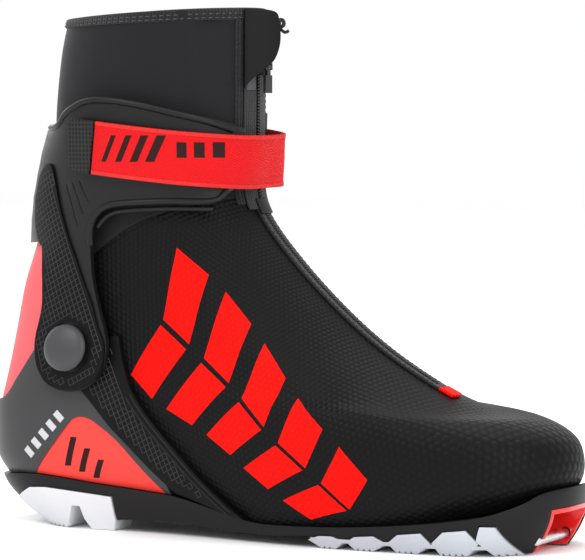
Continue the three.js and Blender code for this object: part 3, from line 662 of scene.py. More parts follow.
def keep(obj: bpy.types.Object, *outlines: Outline) -> bpy.types.Object:
    """Cuts obj to each outline in turn, and returns it."""
    for outline in outlines:
        cut(obj, prism("keep", outline))
    return obj


def one_side(obj: bpy.types.Object, side: Side, start: float = 5) -> bpy.types.Object:
    """Cuts obj to one side of the boot, from start outwards."""
    low, high = sorted((side.value * start, side.value * SPAN))
    return cut(obj, box("side", (BEHIND, low, -20), (AHEAD, high, OVER)))


def soften(obj: bpy.types.Object, width: float = 0.35, segments: int = 2) -> bpy.types.Object:
    """Rounds the sharp edges and smooths the rest; returns obj.

    Args:
        obj: the piece.
        width: of the bevel, or 0 for none.
        segments: of the bevel.
    """
    if width:
        apply_modifier(
            obj,
            "BEVEL",
            width=width * MM,
            segments=segments,
            limit_method="ANGLE",
            angle_limit=BEVEL_ANGLE,
            harden_normals=False,
            use_clamp_overlap=True,
        )
    active(obj)
    bpy.ops.object.shade_smooth_by_angle(angle=SMOOTH_ANGLE)
    return obj


def tube(name: str, points: list, radius: float, closed: bool = False, flat: float = 1.0) -> bpy.types.Object:
    """Returns a round tube along points in millimetres.

    Args:
        name: the piece's name.
        points: what its middle passes through.
        radius: of the tube.
        closed: whether it joins up with itself.
        flat: its height as a share of its width; not used.
    """
    bpy.ops.object.select_all(action="DESELECT")
    bpy.ops.curve.primitive_nurbs_path_add()
    obj = bpy.context.object
    obj.name = name
    curve = obj.data
    curve.splines.clear()
    spline = curve.splines.new("POLY")
    spline.points.add(len(points) - 1)
    for target, p in zip(spline.points, points):
        target.co = (p[0] * MM, p[1] * MM, p[2] * MM, 1)
    spline.use_cyclic_u = closed
    spline.use_smooth = True
    curve.bevel_depth = radius * MM
    curve.bevel_resolution = 3
    curve.use_fill_caps = True
    bpy.ops.object.convert(target="MESH")
    obj = bpy.context.object
    obj.data.name = name
    bpy.ops.object.shade_smooth()
    return obj


def join(name: str, pieces: list) -> bpy.types.Object:
    """Joins the pieces into one object of that name."""
    active(pieces[0])
    for piece in pieces:
        piece.select_set(True)
    if len(pieces) > 1:
        bpy.ops.object.join()
    obj = bpy.context.object
    obj.name = obj.data.name = name
    return obj


def stations(points: np.ndarray, pitch: float, start: float, spare: float) -> list:
    """Returns evenly spaced places along a line, each its middle and the way the line runs there.

    Args:
        points: the line in millimetres.
        pitch: from one place to the next.
        start: where the first lies, in pitches.
        spare: how much of the line stays free at its end, in pitches.
    """
    p = np.array(points, float)
    run = np.concatenate([[0], np.cumsum(np.linalg.norm(np.diff(p, axis=0), axis=1))])
    places = []
    for i in range(max(1, int(run[-1] / pitch - spare))):
        t = (i + start) * pitch
        mid, tip, tail = (
            np.array([np.interp(t + k, run, p[:, c]) for c in range(3)]) for k in (0, 0.5, -0.5)
        )
        places.append((mid, tip - tail))
    return places


def grains(name: str, places: list, size: tuple[float, float, float]) -> bpy.types.Object:
    """Returns small rounded grains in one mesh.

    Args:
        name: the piece's name.
        places: the middle of each, and the rows of its turn.
        size: half their width along their own axes.
    """
    bpy.ops.object.select_all(action="DESELECT")
    bpy.ops.mesh.primitive_uv_sphere_add(segments=8, ring_count=6, radius=1)
    seed = bpy.context.object
    base = coordinates(seed)
    faces = [tuple(q.vertices) for q in seed.data.polygons]
    verts = np.concatenate([mid + (base * size) @ turn for mid, turn in places])
    mesh = seed.data
    mesh.clear_geometry()
    copies = [tuple(k + i * len(base) for k in f) for i in range(len(places)) for f in faces]
    mesh.from_pydata((verts * MM).tolist(), [], copies)
    seed.name = mesh.name = name
    return seed


def stitches(
    name: str, points: np.ndarray, pitch: float = 2.6, length: float = 1.7, radius: float = 0.28
) -> bpy.types.Object:
    """Returns a row of stitches along points in millimetres.

    Args:
        name: the piece's name.
        points: the line that they follow.
        pitch: from one to the next.
        length: of a stitch.
        radius: of its thread.
    """
    places = []
    for mid, way in stations(points, pitch, 0.5, 0):
        turn = Vector(way).normalized().to_track_quat("Z", "Y").to_matrix()
        places.append((mid, np.array(turn).T))
    row = active(grains(name, places, (radius, radius, length / 2)))
    bpy.ops.object.shade_smooth()
    return row


def refine(obj: bpy.types.Object, cell: float) -> None:
    """Cuts a flat prism into strips so that it can be bent."""
    low, high = coordinates(obj).min(axis=0) / MM, coordinates(obj).max(axis=0) / MM
    for k in (0, 2):
        for at in np.arange(low[k] + cell, high[k] - cell / 2, cell):
            active(obj)
            bpy.ops.object.mode_set(mode="EDIT")
            bpy.ops.mesh.select_all(action="SELECT")
            normal = (1, 0, 0) if k == 0 else (0, 0, 1)
            bpy.ops.mesh.bisect(plane_co=tuple(at * MM * n for n in normal), plane_no=normal)
            bpy.ops.object.mode_set(mode="OBJECT")


def smooth3(points: list, parts: int = 8) -> list:
    """Returns a smooth curve in space through the points."""
    flat = smooth([(p[0], p[1]) for p in points], parts)
    tall = smooth([(p[0], p[2]) for p in points], parts)
    return [(a[0], a[1], b[1]) for a, b in zip(flat, tall)]


def strip(
    name: str,
    s0: float,
    s1: float,
    y0: float,
    y1: float,
    d0: float,
    d1: float,
    rows: int,
    cols: int,
    front: bool = True,
    crown: float = 0.0,
) -> bpy.types.Object:
    """Lays a grid on the front or back of the upper and gives it a thickness.

    Args:
        name: the piece's name.
        s0: its lowest level.
        s1: its highest level.
        y0: its left edge.
        y1: its right edge.
        d0: its inner offset.
        d1: its outer offset.
        rows: how many cells up it.
        cols: how many cells across it.
        front: whether it lies on the front line.
        crown: how far its middle swells.
    """
    bpy.ops.object.select_all(action="DESELECT")
    bpy.ops.mesh.primitive_grid_add(x_subdivisions=cols, y_subdivisions=rows, size=1)
    obj = bpy.context.object
    obj.name = obj.data.name = name
    v = coordinates(obj) + 0.5
    col = np.round(v[:, 0] * cols).astype(int)
    row = np.round(v[:, 1] * rows).astype(int)
    levels_at = np.linspace(s0, s1, rows + 1)
    y_at = np.linspace(y0, y1, cols + 1)
    swell = crown * np.outer(*(np.sin(np.linspace(0, math.pi, n + 1)) ** 0.5 for n in (rows, cols)))
    grid = np.array(
        [
            [UPPER.near(s, y, d1 + swell[i, j], front) for j, y in enumerate(y_at)]
            for i, s in enumerate(levels_at)
        ]
    )
    move_to(obj, grid[row, col])
    rise = np.concatenate([[0], np.cumsum(np.linalg.norm(np.diff(grid[:, cols // 2], axis=0), axis=1))])
    uv = np.stack([y_at[col], rise[row]], -1) * MM
    corner = np.empty(len(obj.data.loops), int)
    obj.data.loops.foreach_get("vertex_index", corner)
    obj.data.uv_layers.active.data.foreach_set("uv", uv[corner].ravel())
    face = obj.data.polygons[len(obj.data.polygons) // 2]
    outside = face.normal.x > 0 if front else face.normal.x < 0
    if not outside:
        active(obj)
        bpy.ops.object.mode_set(mode="EDIT")
        bpy.ops.mesh.select_all(action="SELECT")
        bpy.ops.mesh.flip_normals()
        bpy.ops.object.mode_set(mode="OBJECT")
    apply_modifier(obj, "SOLIDIFY", thickness=(d1 - d0) * MM, offset=-1.0, use_even_offset=True)
    outward(obj)
    return obj


def beads(
    name: str, points: np.ndarray, pitch: float, size: tuple[float, float, float], start: float = 0.5
) -> bpy.types.Object:
    """Returns a row of small rounded beads along points in millimetres.

    Args:
        name: the piece's name.
        points: the line that they follow.
        pitch: from one to the next.
        size: half their width across, along and out.
        start: where the first lies, in pitches.
    """
    places = []
    for mid, way in stations(points, pitch, start, start):
        along = way / np.linalg.norm(way)
        side = np.array([0, 1, 0]) - along * along[1]
        side = side / np.linalg.norm(side) if np.linalg.norm(side) > 0.2 else np.cross(along, (0, 0, 1))
        side /= np.linalg.norm(side)
        places.append((mid, np.stack([side, along, np.cross(side, along)])))
    row = grains(name, places, size)
    outward(row)
    active(row)
    bpy.ops.object.shade_smooth()
    return row


def turned(name: str, profile: Outline, centre: Vector, axis: Vector) -> bpy.types.Object:
    """Returns a turned body.

    Args:
        name: the piece's name.
        profile: (radius, height) from the top down, its first and last on the axis.
        centre: where height 0 lies, in millimetres.
        axis: the way up.
    """
    rings = len(profile) - 1
    bpy.ops.object.select_all(action="DESELECT")
    bpy.ops.mesh.primitive_uv_sphere_add(segments=56, ring_count=rings, radius=1)
    obj = bpy.context.object
    obj.name = obj.data.name = name
    v = coordinates(obj)
    ring = np.round(np.arccos(np.clip(v[:, 2], -1, 1)) / math.pi * rings).astype(int)
    spin = np.arctan2(v[:, 1], v[:, 0])
    shape = np.array(profile, float)[ring]
    local = np.stack([shape[:, 0] * np.cos(spin), shape[:, 0] * np.sin(spin), shape[:, 1]], -1)
    turn = np.array(axis.to_track_quat("Z", "Y").to_matrix())
    move_to(obj, np.array(centre) + local @ turn.T)
    outward(obj)
    return obj


def filled(name: str, surface: Surface, d: float, low: float, high: float) -> bpy.types.Object:
    """Returns the solid inside the surface between two levels, with flat ends.

    Args:
        name: the solid's name.
        surface: what it fills.
        d: how far out it goes.
        low: its lowest level.
        high: its highest level.
    """
    rows = levels(low, high, 5)
    rings = len(rows) + 1
    bpy.ops.object.select_all(action="DESELECT")
    bpy.ops.mesh.primitive_uv_sphere_add(segments=AROUND, ring_count=rings, radius=1)
    obj = bpy.context.object
    obj.name = obj.data.name = name
    v = coordinates(obj)
    ring = np.round(np.arccos(np.clip(v[:, 2], -1, 1)) / math.pi * rings).astype(int)
    spin = np.mod(np.round(np.arctan2(v[:, 1], v[:, 0]) / (2 * math.pi) * AROUND), AROUND).astype(int)
    s, a = np.meshgrid(rows, np.arange(AROUND) * 2 * math.pi / AROUND)
    grid = surface.offset(s, a, np.full(s.shape, d))
    point = grid[spin, np.clip(len(rows) - ring, 0, len(rows) - 1)]
    point[ring == 0] = grid[:, -1].mean(axis=0)
    point[ring == rings] = grid[:, 0].mean(axis=0)
    move_to(obj, point)
    outward(obj)
    return obj


def inside(points: np.ndarray, outline: Outline) -> np.ndarray:
    """Returns which of the points lie inside an outline."""
    poly = np.array(outline, float)
    x, z = points[:, 0], points[:, 1]
    hit = np.zeros(len(points), bool)
    for (x0, z0), (x1, z1) in zip(poly, np.roll(poly, -1, axis=0)):
        if z0 == z1:
            continue
        cross = ((z0 > z) != (z1 > z)) & (x < (x1 - x0) * (z - z0) / (z1 - z0) + x0)
        hit ^= cross
    return hit


def lattice(
    name: str,
    outline: Outline,
    side: Side,
    d: float,
    pitch: float = 2.3,
    rise: float = 27.0,
    steep: float = 112.0,
    width: float = 0.42,
    hole: tuple[float, float, float] | None = None,
    draw: Draw | None = None,
) -> bpy.types.Object:
    """Returns a net of raised lines on the surface inside a side-view outline.

    Args:
        name: the piece's name.
        outline: where it lies.
        side: which side of the boot.
        d: the offset that it stands on.
        pitch: from one line to the next.
        rise: the slope of the one set of lines, in degrees.
        steep: the slope of the other.
        width: of a line.
        hole: a circle that it leaves free.
        draw: how the layer under it leaves its even offset.
    """
    e1, e2 = (
        np.array([math.cos(math.radians(way)), math.sin(math.radians(way))]) * pitch for way in (rise, steep)
    )
    poly = np.array(outline)
    centre = poly.mean(axis=0)
    reach = int(np.linalg.norm(poly - centre, axis=1).max() / pitch) + 2
    cells = 2 * reach
    bpy.ops.object.select_all(action="DESELECT")
    bpy.ops.mesh.primitive_grid_add(x_subdivisions=cells, y_subdivisions=cells, size=cells)
    obj = bpy.context.object
    obj.name = obj.data.name = name
    v = coordinates(obj)
    flat = centre + v[:, :1] * e1 + v[:, 1:2] * e2
    ok = inside(flat, outline)
    if hole is not None:
        ok &= np.hypot(flat[:, 0] - hole[0], flat[:, 1] - hole[1]) > hole[2]
    mesh = obj.data
    points = np.zeros((len(flat), 3))
    points[ok] = UPPER.lay([tuple(q) for q in flat[ok]], side, d, draw)
    active(obj)
    bpy.ops.object.mode_set(mode="EDIT")
    bpy.ops.mesh.select_mode(type="VERT")
    bpy.ops.mesh.select_all(action="DESELECT")
    bpy.ops.object.mode_set(mode="OBJECT")
    mesh.vertices.foreach_set("select", ~ok)
    move_to(obj, points)
    bpy.ops.object.mode_set(mode="EDIT")
    bpy.ops.mesh.delete(type="VERT")
    bpy.ops.object.mode_set(mode="OBJECT")
    apply_modifier(
        obj,
        "WIREFRAME",
        thickness=width * MM,
        use_replace=True,
        use_even_offset=True,
        use_boundary=True,
    )
    active(obj)
    bpy.ops.object.shade_smooth_by_angle(angle=SMOOTH_ANGLE)
    return obj


# ------------------------------------------------------------------ finishes


class Graph:
    """Builds one node material."""

    def __init__(self, name: str) -> None:
        """Args:
        name: of the material.
        """
        self.material = bpy.data.materials.new(name)
        self.material.use_nodes = True
        self.tree = self.material.node_tree
        self.shader = self.tree.nodes["Principled BSDF"]

    def node(self, kind: str, **values: object) -> bpy.types.Node:
        """Adds a node; values name its properties or, failing that, its inputs."""
        node = self.tree.nodes.new(kind)
        for key, value in values.items():
            if hasattr(node, key):
                setattr(node, key, value)
            else:
                self.feed(node.inputs[key.replace("_", " ")], value)
        return node

    def feed(self, socket: bpy.types.NodeSocket, value: object) -> None:
        """Links a socket to value, or sets it."""
        if isinstance(value, bpy.types.NodeSocket):
            self.tree.links.new(value, socket)
        else:
            socket.default_value = value

    def math(self, operation: str, a: object, b: object = 0.0, clamp: bool = False) -> bpy.types.NodeSocket:
        """Returns the result of a sum of a and b."""
        node = self.tree.nodes.new("ShaderNodeMath")
        node.operation, node.use_clamp = operation, clamp
        self.feed(node.inputs[0], a)
        self.feed(node.inputs[1], b)
        return node.outputs[0]

    def ramp(
        self, value: object, low: float, high: float, a: float = 0.0, b: float = 1.0
    ) -> bpy.types.NodeSocket:
        """Returns value taken smoothly from low..high to a..b."""
        node = self.tree.nodes.new("ShaderNodeMapRange")
        node.interpolation_type = "SMOOTHSTEP"
        for socket, v in zip(node.inputs, (value, low, high, a, b)):
            self.feed(socket, v)
        return node.outputs[0]

    def mix(self, factor: object, a: tuple, b: tuple) -> bpy.types.NodeSocket:
        """Returns the colour between a and b."""
        node = self.tree.nodes.new("ShaderNodeMix")
        node.data_type = "RGBA"
        self.feed(node.inputs[0], factor)
        self.feed(node.inputs[6], a)
        self.feed(node.inputs[7], b)
        return node.outputs[2]

    def where(self, unrolled: bool = True) -> list:
        """Returns the surface's own coordinates in metres, unrolled or in space."""
        source = self.tree.nodes.new("ShaderNodeTexCoord")
        split = self.tree.nodes.new("ShaderNodeSeparateXYZ")
        self.tree.links.new(source.outputs["UV" if unrolled else "Object"], split.inputs[0])
        return [split.outputs[i] for i in range(3)]

    def noise(self, scale: float, detail: float = 3.0, stretch: tuple = (1, 1, 1)) -> bpy.types.NodeSocket:
        """Returns noise in space of the given scale per metre."""
        source = self.tree.nodes.new("ShaderNodeTexCoord")
        mapping = self.tree.nodes.new("ShaderNodeMapping")
        mapping.inputs["Scale"].default_value = stretch
        self.tree.links.new(source.outputs["Object"], mapping.inputs[0])
        node = self.tree.nodes.new("ShaderNodeTexNoise")
        self.tree.links.new(mapping.outputs[0], node.inputs["Vector"])
        node.inputs["Scale"].default_value = scale
        node.inputs["Detail"].default_value = detail
        return node.outputs["Fac"]

    def bump(
        self, height: object, distance: float, strength: float = 1.0, under: object = None
    ) -> bpy.types.NodeSocket:
        """Returns a normal pushed by height, of distance in millimetres."""
        node = self.tree.nodes.new("ShaderNodeBump")
        node.inputs["Strength"].default_value = strength
        node.inputs["Distance"].default_value = distance * MM
        self.feed(node.inputs["Height"], height)
        if under is not None:
            self.feed(node.inputs["Normal"], under)
        return node.outputs[0]

    def cells(self, u: object, v: object, pitch: float) -> bpy.types.NodeSocket:
        """Returns the distance to the nearest of a honeycomb of centres, in pitches."""
        far = []
        for shift in (0.0, 0.5):
            away = []
            for w, k in ((u, 1 / (pitch * MM)), (v, 1 / (pitch * MM * math.sqrt(3)))):
                turn = self.math("FRACT", self.math("ADD", self.math("MULTIPLY", w, k), shift))
                away.append(self.math("SUBTRACT", turn, 0.5))
            du, dv = away
            dv = self.math("MULTIPLY", dv, math.sqrt(3))
            far.append(self.math("ADD", self.math("MULTIPLY", du, du), self.math("MULTIPLY", dv, dv)))
        return self.math("SQRT", self.math("MINIMUM", *far))

    def lines(self, value: object, pitch: float) -> bpy.types.NodeSocket:
        """Returns 0 on evenly spaced lines and 1 midway between them."""
        turn = self.math("FRACT", self.math("MULTIPLY", value, 1 / (pitch * MM)))
        return self.math("MULTIPLY", self.math("ABSOLUTE", self.math("SUBTRACT", turn, 0.5)), 2.0)

    def turned(self, a: object, b: object, degrees: float) -> tuple:
        """Returns the coordinates a and b turned by an angle."""
        c, s = math.cos(math.radians(degrees)), math.sin(math.radians(degrees))
        return (
            self.math("ADD", self.math("MULTIPLY", a, c), self.math("MULTIPLY", b, s)),
            self.math("SUBTRACT", self.math("MULTIPLY", b, c), self.math("MULTIPLY", a, s)),
        )

    def finish(self, **sockets: object) -> bpy.types.Material:
        """Sets the shader's sockets and returns the material."""
        for key, value in sockets.items():
            self.feed(self.shader.inputs[key.replace("_", " ")], value)
        return self.material


@dataclass(frozen=True)
class Plastic:
    """Moulded plastic or rubber with a fine grain."""

    name: str
    colour: Colour
    roughness: float = 0.42
    grain: float = 0.03
    grain_scale: float = 2600
    specular: float = 0.14
    coat: float = 0.0

    def material(self) -> bpy.types.Material:
        """Returns the node material."""
        g = Graph(self.name)
        fine = g.noise(self.grain_scale, 2)
        wide = g.noise(28, 3)
        dark = tuple(c * 0.86 for c in self.colour[:3]) + (1.0,)
        rough = g.ramp(wide, 0.3, 0.7, self.roughness - 0.04, self.roughness + 0.05)
        return g.finish(
            Base_Color=g.mix(wide, dark, self.colour), Roughness=rough,
            Normal=g.bump(fine, self.grain, 0.6), Specular_IOR_Level=self.specular,
            Coat_Weight=self.coat, Coat_Roughness=0.15,
        )


@dataclass(frozen=True)
class Dimpled:
    """Coated synthetic with a honeycomb of raised dimples."""

    name: str
    colour: Colour
    edge: Colour
    pitch: float = 2.65
    depth: float = 0.16
    roughness: float = 0.4
    specular: float = 0.09

    def material(self) -> bpy.types.Material:
        """Returns the node material."""
        g = Graph(self.name)
        u, v, _ = g.where()
        d = g.cells(u, v, self.pitch)
        dome = g.ramp(d, 0.16, 0.46, 1.0, 0.0)
        grain = g.noise(2400, 2)
        normal = g.bump(grain, 0.02, 0.5, g.bump(dome, self.depth, 1.0))
        wide = g.noise(22, 3)
        shade = g.mix(dome, self.edge, self.colour)
        rough = g.math("ADD", g.ramp(wide, 0.3, 0.7, self.roughness - 0.04, self.roughness + 0.06),
                       g.ramp(d, 0.3, 0.5, 0.0, 0.1))
        return g.finish(Base_Color=shade, Roughness=rough, Normal=normal, Specular_IOR_Level=self.specular)


@dataclass(frozen=True)
class Gridded:
    """Moulded plastic with a grid of fine raised lines, set slantwise."""

    name: str
    colour: Colour
    line: Colour
    pitch: float = 2.2
    slant: float = 45.0
    width: float = 0.16
    roughness: float = 0.5
    specular: float = 0.15

    def material(self) -> bpy.types.Material:
        """Returns the node material."""
        g = Graph(self.name)
        x, _, z = g.where(unrolled=False)
        a, b = g.turned(x, z, self.slant)
        la, lb = g.lines(a, self.pitch), g.lines(b, self.pitch)
        low = g.math("MINIMUM", la, lb)
        line = g.ramp(low, self.width, self.width + 0.22, 1.0, 0.0)
        wide = g.noise(30, 2)
        normal = g.bump(g.noise(2500, 2), 0.02, 0.5, g.bump(line, 0.14))
        return g.finish(
            Base_Color=g.mix(line, self.colour, self.line),
            Roughness=g.ramp(wide, 0.3, 0.7, self.roughness - 0.05, self.roughness + 0.05),
            Normal=normal, Specular_IOR_Level=self.specular,
        )


@dataclass(frozen=True)
class Cloth:
    """Smooth softshell or brushed knit: a fine twill with a faint sheen."""

    name: str
    colour: Colour
    pitch: float = 0.55
    roughness: float = 0.62
    sheen: float = 0.1
    depth: float = 0.03
    slant: float = 32.0

    def material(self) -> bpy.types.Material:
        """Returns the node material."""
        g = Graph(self.name)
        u, v, _ = g.where()
        a, b = g.turned(u, v, self.slant)
        twill = g.math("MULTIPLY", g.lines(a, self.pitch), g.lines(b, self.pitch * 1.7))
        wide = g.noise(35, 4)
        dark = tuple(c * 0.8 for c in self.colour[:3]) + (1.0,)
        normal = g.bump(twill, self.depth, 0.7, g.bump(wide, 0.5, 0.25))
        return g.finish(
            Base_Color=g.mix(g.math("MULTIPLY", wide, twill), dark, self.colour),
            Roughness=g.ramp(wide, 0.3, 0.7, self.roughness - 0.05, self.roughness + 0.06),
            Normal=normal, Sheen_Weight=self.sheen, Sheen_Roughness=0.45,
            Sheen_Tint=(0.8, 0.8, 0.85, 1.0), Specular_IOR_Level=0.1,
        )


@dataclass(frozen=True)
class Knit:
    """Ribbed knit tape: ribs one way, loops along them."""

    name: str
    colour: Colour
    light: Colour
    rib: float = 1.3
    loop: float = 0.8
    depth: float = 0.25
    along_rim: bool = False

    def material(self) -> bpy.types.Material:
        """Returns the node material."""
        g = Graph(self.name)
        u, v, _ = g.where()
        if self.along_rim:
            u, v = v, u
        rib = g.lines(u, self.rib)
        loop = g.lines(v, self.loop)
        height = g.math("MULTIPLY", g.math("POWER", rib, 0.6), g.ramp(loop, 0.0, 0.5, 0.55, 1.0))
        flecks = g.noise(1400, 3)
        return g.finish(
            Base_Color=g.mix(g.math("MULTIPLY", height, flecks), self.colour, self.light),
            Roughness=0.85, Normal=g.bump(flecks, 0.06, 0.6, g.bump(height, self.depth)),
            Sheen_Weight=0.15, Sheen_Roughness=0.5, Specular_IOR_Level=0.1,
        )


@dataclass(frozen=True)
class Webbing:
    """Woven strap: a fine herringbone with plain selvedges at its two edges."""

    name: str
    colour: Colour
    deep: Colour
    pitch: float = 1.1

    def material(self) -> bpy.types.Material:
        """Returns the node material."""
        g = Graph(self.name)
        u, v, _ = g.where()
        warp = g.lines(v, self.pitch)
        side = g.math("ABSOLUTE", g.math("SUBTRACT", warp, 0.5))
        zig = g.math("ADD", u, g.math("MULTIPLY", side, self.pitch * MM))
        weft = g.lines(zig, self.pitch * 0.55)
        height = g.math("MULTIPLY", g.math("POWER", warp, 0.5), g.ramp(weft, 0.0, 0.8, 0.4, 1.0))
        fuzz = g.noise(1800, 3)
        lit = g.math("MULTIPLY", height, g.ramp(fuzz, 0.2, 0.7, 0.6, 1.0))
        return g.finish(
            Base_Color=g.mix(lit, self.deep, self.colour),
            Roughness=0.72,
            Normal=g.bump(fuzz, 0.05, 0.5, g.bump(height, 0.22)),
            Sheen_Weight=0.05,
            Sheen_Roughness=0.4,
            Sheen_Tint=(1.0, 0.5, 0.45, 1.0),
            Specular_IOR_Level=0.1,
        )


@dataclass(frozen=True)
class Steel:
    """Turned steel with a faint brushed line round it."""

    name: str
    colour: Colour = (0.62, 0.63, 0.65, 1.0)
    roughness: float = 0.26

    def material(self) -> bpy.types.Material:
        """Returns the node material."""
        g = Graph(self.name)
        brushed = g.noise(900, 2, (0.05, 1.0, 0.05))
        return g.finish(
            Base_Color=self.colour, Metallic=1.0,
            Roughness=g.ramp(brushed, 0.3, 0.7, self.roughness - 0.06, self.roughness + 0.1),
            Normal=g.bump(brushed, 0.01, 0.4),
        )


BLACK = (0.0046, 0.0046, 0.005, 1.0)
SOFT_BLACK = (0.0125, 0.0125, 0.0138, 1.0)

FINISHES = {
    "vamp": Dimpled("vamp_synthetic", BLACK, (0.0035, 0.0035, 0.0038, 1.0)),
    "print": Dimpled(
        "vamp_print", (0.93, 0.0042, 0.0012, 1.0), (0.74, 0.003, 0.001, 1.0), roughness=0.5, specular=0.07
    ),
    "softshell": Cloth("softshell", SOFT_BLACK),
    "stretch": Knit("stretch_knit", (0.009, 0.009, 0.01, 1.0), (0.026, 0.026, 0.028, 1.0), 1.0, 0.7, 0.16),
    "lining": Cloth("brushed_lining", (0.009, 0.009, 0.01, 1.0), 0.9, 0.9, 0.3, 0.1),
    "knit": Knit("zip_tape", (0.013, 0.013, 0.014, 1.0), (0.06, 0.06, 0.064, 1.0)),
    "binding": Knit("rim_binding", (0.009, 0.009, 0.01, 1.0), (0.03, 0.03, 0.032, 1.0), 1.5, 0.9, 0.3),
    "cuff": Plastic("cuff_plastic", (0.0088, 0.0088, 0.0095, 1.0), 0.4, specular=0.2),
    "grid": Plastic("grid_plastic", (0.0035, 0.0035, 0.0038, 1.0), 0.5, 0.03, specular=0.1),
    "net": Plastic("net_plastic", (0.028, 0.028, 0.03, 1.0), 0.5, 0.02, specular=0.2),
    "rivet": Plastic("rivet_plastic", (0.047, 0.047, 0.05, 1.0), 0.36, 0.04, specular=0.3),
    "counter": Plastic("counter_plastic", (0.042, 0.042, 0.044, 1.0), 0.42, 0.05, specular=0.2),
    "panel": Cloth("heel_panel", (0.8, 0.125, 0.137, 1.0), 0.7, 0.5, 0.04, 0.04),
    "inset": Plastic("inset_plastic", (0.85, 0.052, 0.04, 1.0), 0.38, 0.03, specular=0.18),
    "mark": Plastic("mark_print", (0.52, 0.52, 0.54, 1.0), 0.5, 0.01),
    "dark_mark": Plastic("dark_print", (0.02, 0.005, 0.0045, 1.0), 0.6, 0.02),
    "shell": Plastic("sole_shell", (0.0075, 0.0075, 0.008, 1.0), 0.42, 0.06, specular=0.16),
    "tread": Plastic("tread_rubber", (0.66, 0.67, 0.70, 1.0), 0.5, 0.07, specular=0.3),
    # the forefoot lugs are the heel tread's rubber, darkened and tinted blue with painted shade
    "forefoot": Plastic("forefoot_rubber", (0.49, 0.51, 0.56, 1.0), 0.46, 0.07, specular=0.3),
    "insert": Plastic("toe_insert_plastic", (0.75, 0.015, 0.012, 1.0), 0.16, 0.01, specular=0.3, coat=0.4),
    "steel": Steel("bar_steel"),
    "zip": Plastic("zip_plastic", (0.007, 0.007, 0.0075, 1.0), 0.35, 0.02, specular=0.25),
    "webbing": Webbing("strap_webbing", (0.92, 0.012, 0.016, 1.0), (0.5, 0.006, 0.008, 1.0)),
    "selvedge": Webbing("strap_selvedge", (0.95, 0.05, 0.05, 1.0), (0.6, 0.02, 0.02, 1.0), 0.8),
    "grip": Gridded(
        "grip_rubber", (0.008, 0.008, 0.008, 1.0), (0.022, 0.022, 0.022, 1.0), 1.8, 0.0, 0.2, 0.6
    ),
    "tab": Plastic("tab_leather", (0.0048, 0.0048, 0.0052, 1.0), 0.42, 0.08, 900, 0.12),
    "thread": Plastic("thread", (0.012, 0.012, 0.013, 1.0), 0.55, 0.03),
    "grey_thread": Plastic("grey_thread", (0.075, 0.075, 0.08, 1.0), 0.6, 0.03),
    "felt": Cloth("felt", (0.085, 0.085, 0.092, 1.0), 1.0, 0.95, 0.3, 0.15),
    "cord": Knit("lace_cord", (0.009, 0.009, 0.01, 1.0), (0.032, 0.032, 0.034, 1.0), 0.7, 0.7, 0.1),
}


@dataclass
class Assembly:
    """Pieces that belong together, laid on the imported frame."""

    materials: dict[str, bpy.types.Material]

    def dress(
        self, obj: bpy.types.Object, finish: str, slot: str, body: str | None, *nodes: str
    ) -> bpy.types.Object:
        """Gives a piece its finish and body.

        Args:
            obj: the piece.
            finish: the name of its finish.
            slot: the record's material slot; not used.
            body: the CAD body it rides on, or None where it bends between two.
            nodes: the CAD nodes that it stands for.
        """
        obj.data.materials.clear()
        obj.data.materials.append(self.materials[finish])
        if body is None:
            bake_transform(obj)
        else:
            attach(obj, body)
        if nodes:
            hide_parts(*nodes)
        log.info("%s: %d faces", obj.name, len(obj.data.polygons))
        return obj


# ------------------------------------------------------------------ outlines of the boot

FEATHER = smooth([
    (-150, 20), (-131, 20.4), (-121, 21.4), (-113.5, 22.4), (-105, 22.9), (-96, 22.6),
    (-71, 19.9), (-45, 18), (-32, 17), (-13.6, 13.2),
    (4.4, 9), (20, 8.4), (53, 9.8), (81, 12.3), (98, 14.5), (110, 16.5), (119, 19.5), (124, 22),
    (131, 26), (150, 28),
], 5)
FOOT_LINE = raised(FEATHER, 0.3)
VAMP_EDGE = smooth([
    (-160, 104), (-110, 103), (-88, 104), (-72, 118), (-52, 131), (-30, 138.5), (-8, 143), (40, 150),
], 6)
PANEL = [
    (-160, 53), (-119, 53), *smooth([(-113, 62), (-101, 78), (-95, 84), (-97, 96), (-99, 124)], 6),
    (-104, 134), (-160, 134),
]
COUNTER_TOP = [
    (-101, 79.5), *smooth([(-101.5, 79), (-105.6, 74), (-113, 64), (-119, 56.5), (-125, 53.6),
    (-132, 52.6), (-160, 52)], 6),
]
ARM_BACK = smooth([
    (-96, 79), (-91, 72.5), (-84.5, 67), (-78.5, 61.5), (-73, 56), (-64, 46), (-57, 39.8), (-45, 29.3),
    (-31.5, 17.8),
], 5)
ARM_FRONT = smooth([
    (6, 7), (-4.5, 15), (-18, 26), (-31.5, 38.5), (-44, 51), (-52, 62), (-56, 74), (-58, 84),
], 6)
COUNTER_SIDE = [
    *COUNTER_TOP, *[p for p in FOOT_LINE if p[0] < -33],
    *[p for p in reversed(ARM_BACK) if -95 < p[0] < -34],
]
INSET = [
    (-103.8, 22), (-96, 21), (-71, 18.4), (-46, 16.5), (-35.5, 16), *smooth([(-51.5, 31.4),
    (-60, 39.5), (-70, 46.4), (-73.5, 48.2), (-77.6, 48.9), (-81.5, 47.8), (-84.5, 45)], 5),
]
CUFF_FRONT = smooth([
    (-62.5, 86), (-66.5, 98), (-69, 110), (-69.5, 122), (-68.2, 130), (-65, 135.6), (-59, 138.4),
    (-48, 139.6), (-20, 140.2), (-14.5, 143), (-12, 150), (-10, 171),
], 6)
CUFF_TOP = smooth([
    (-10, 171), (-15, 174.3), (-27, 178), (-40, 181), (-55, 182.6), (-69, 182.2), (-77, 180),
    (-83, 176.4), (-89, 172), (-96, 170),
], 6)
CUFF_BACK = [
    (-160, 170), (-160, 121.5), (-112, 121.5), *smooth([(-100, 122.6), (-97.4, 119), (-95.6, 110),
    (-94.4, 100), (-95, 93), (-97.5, 84)], 5),
]
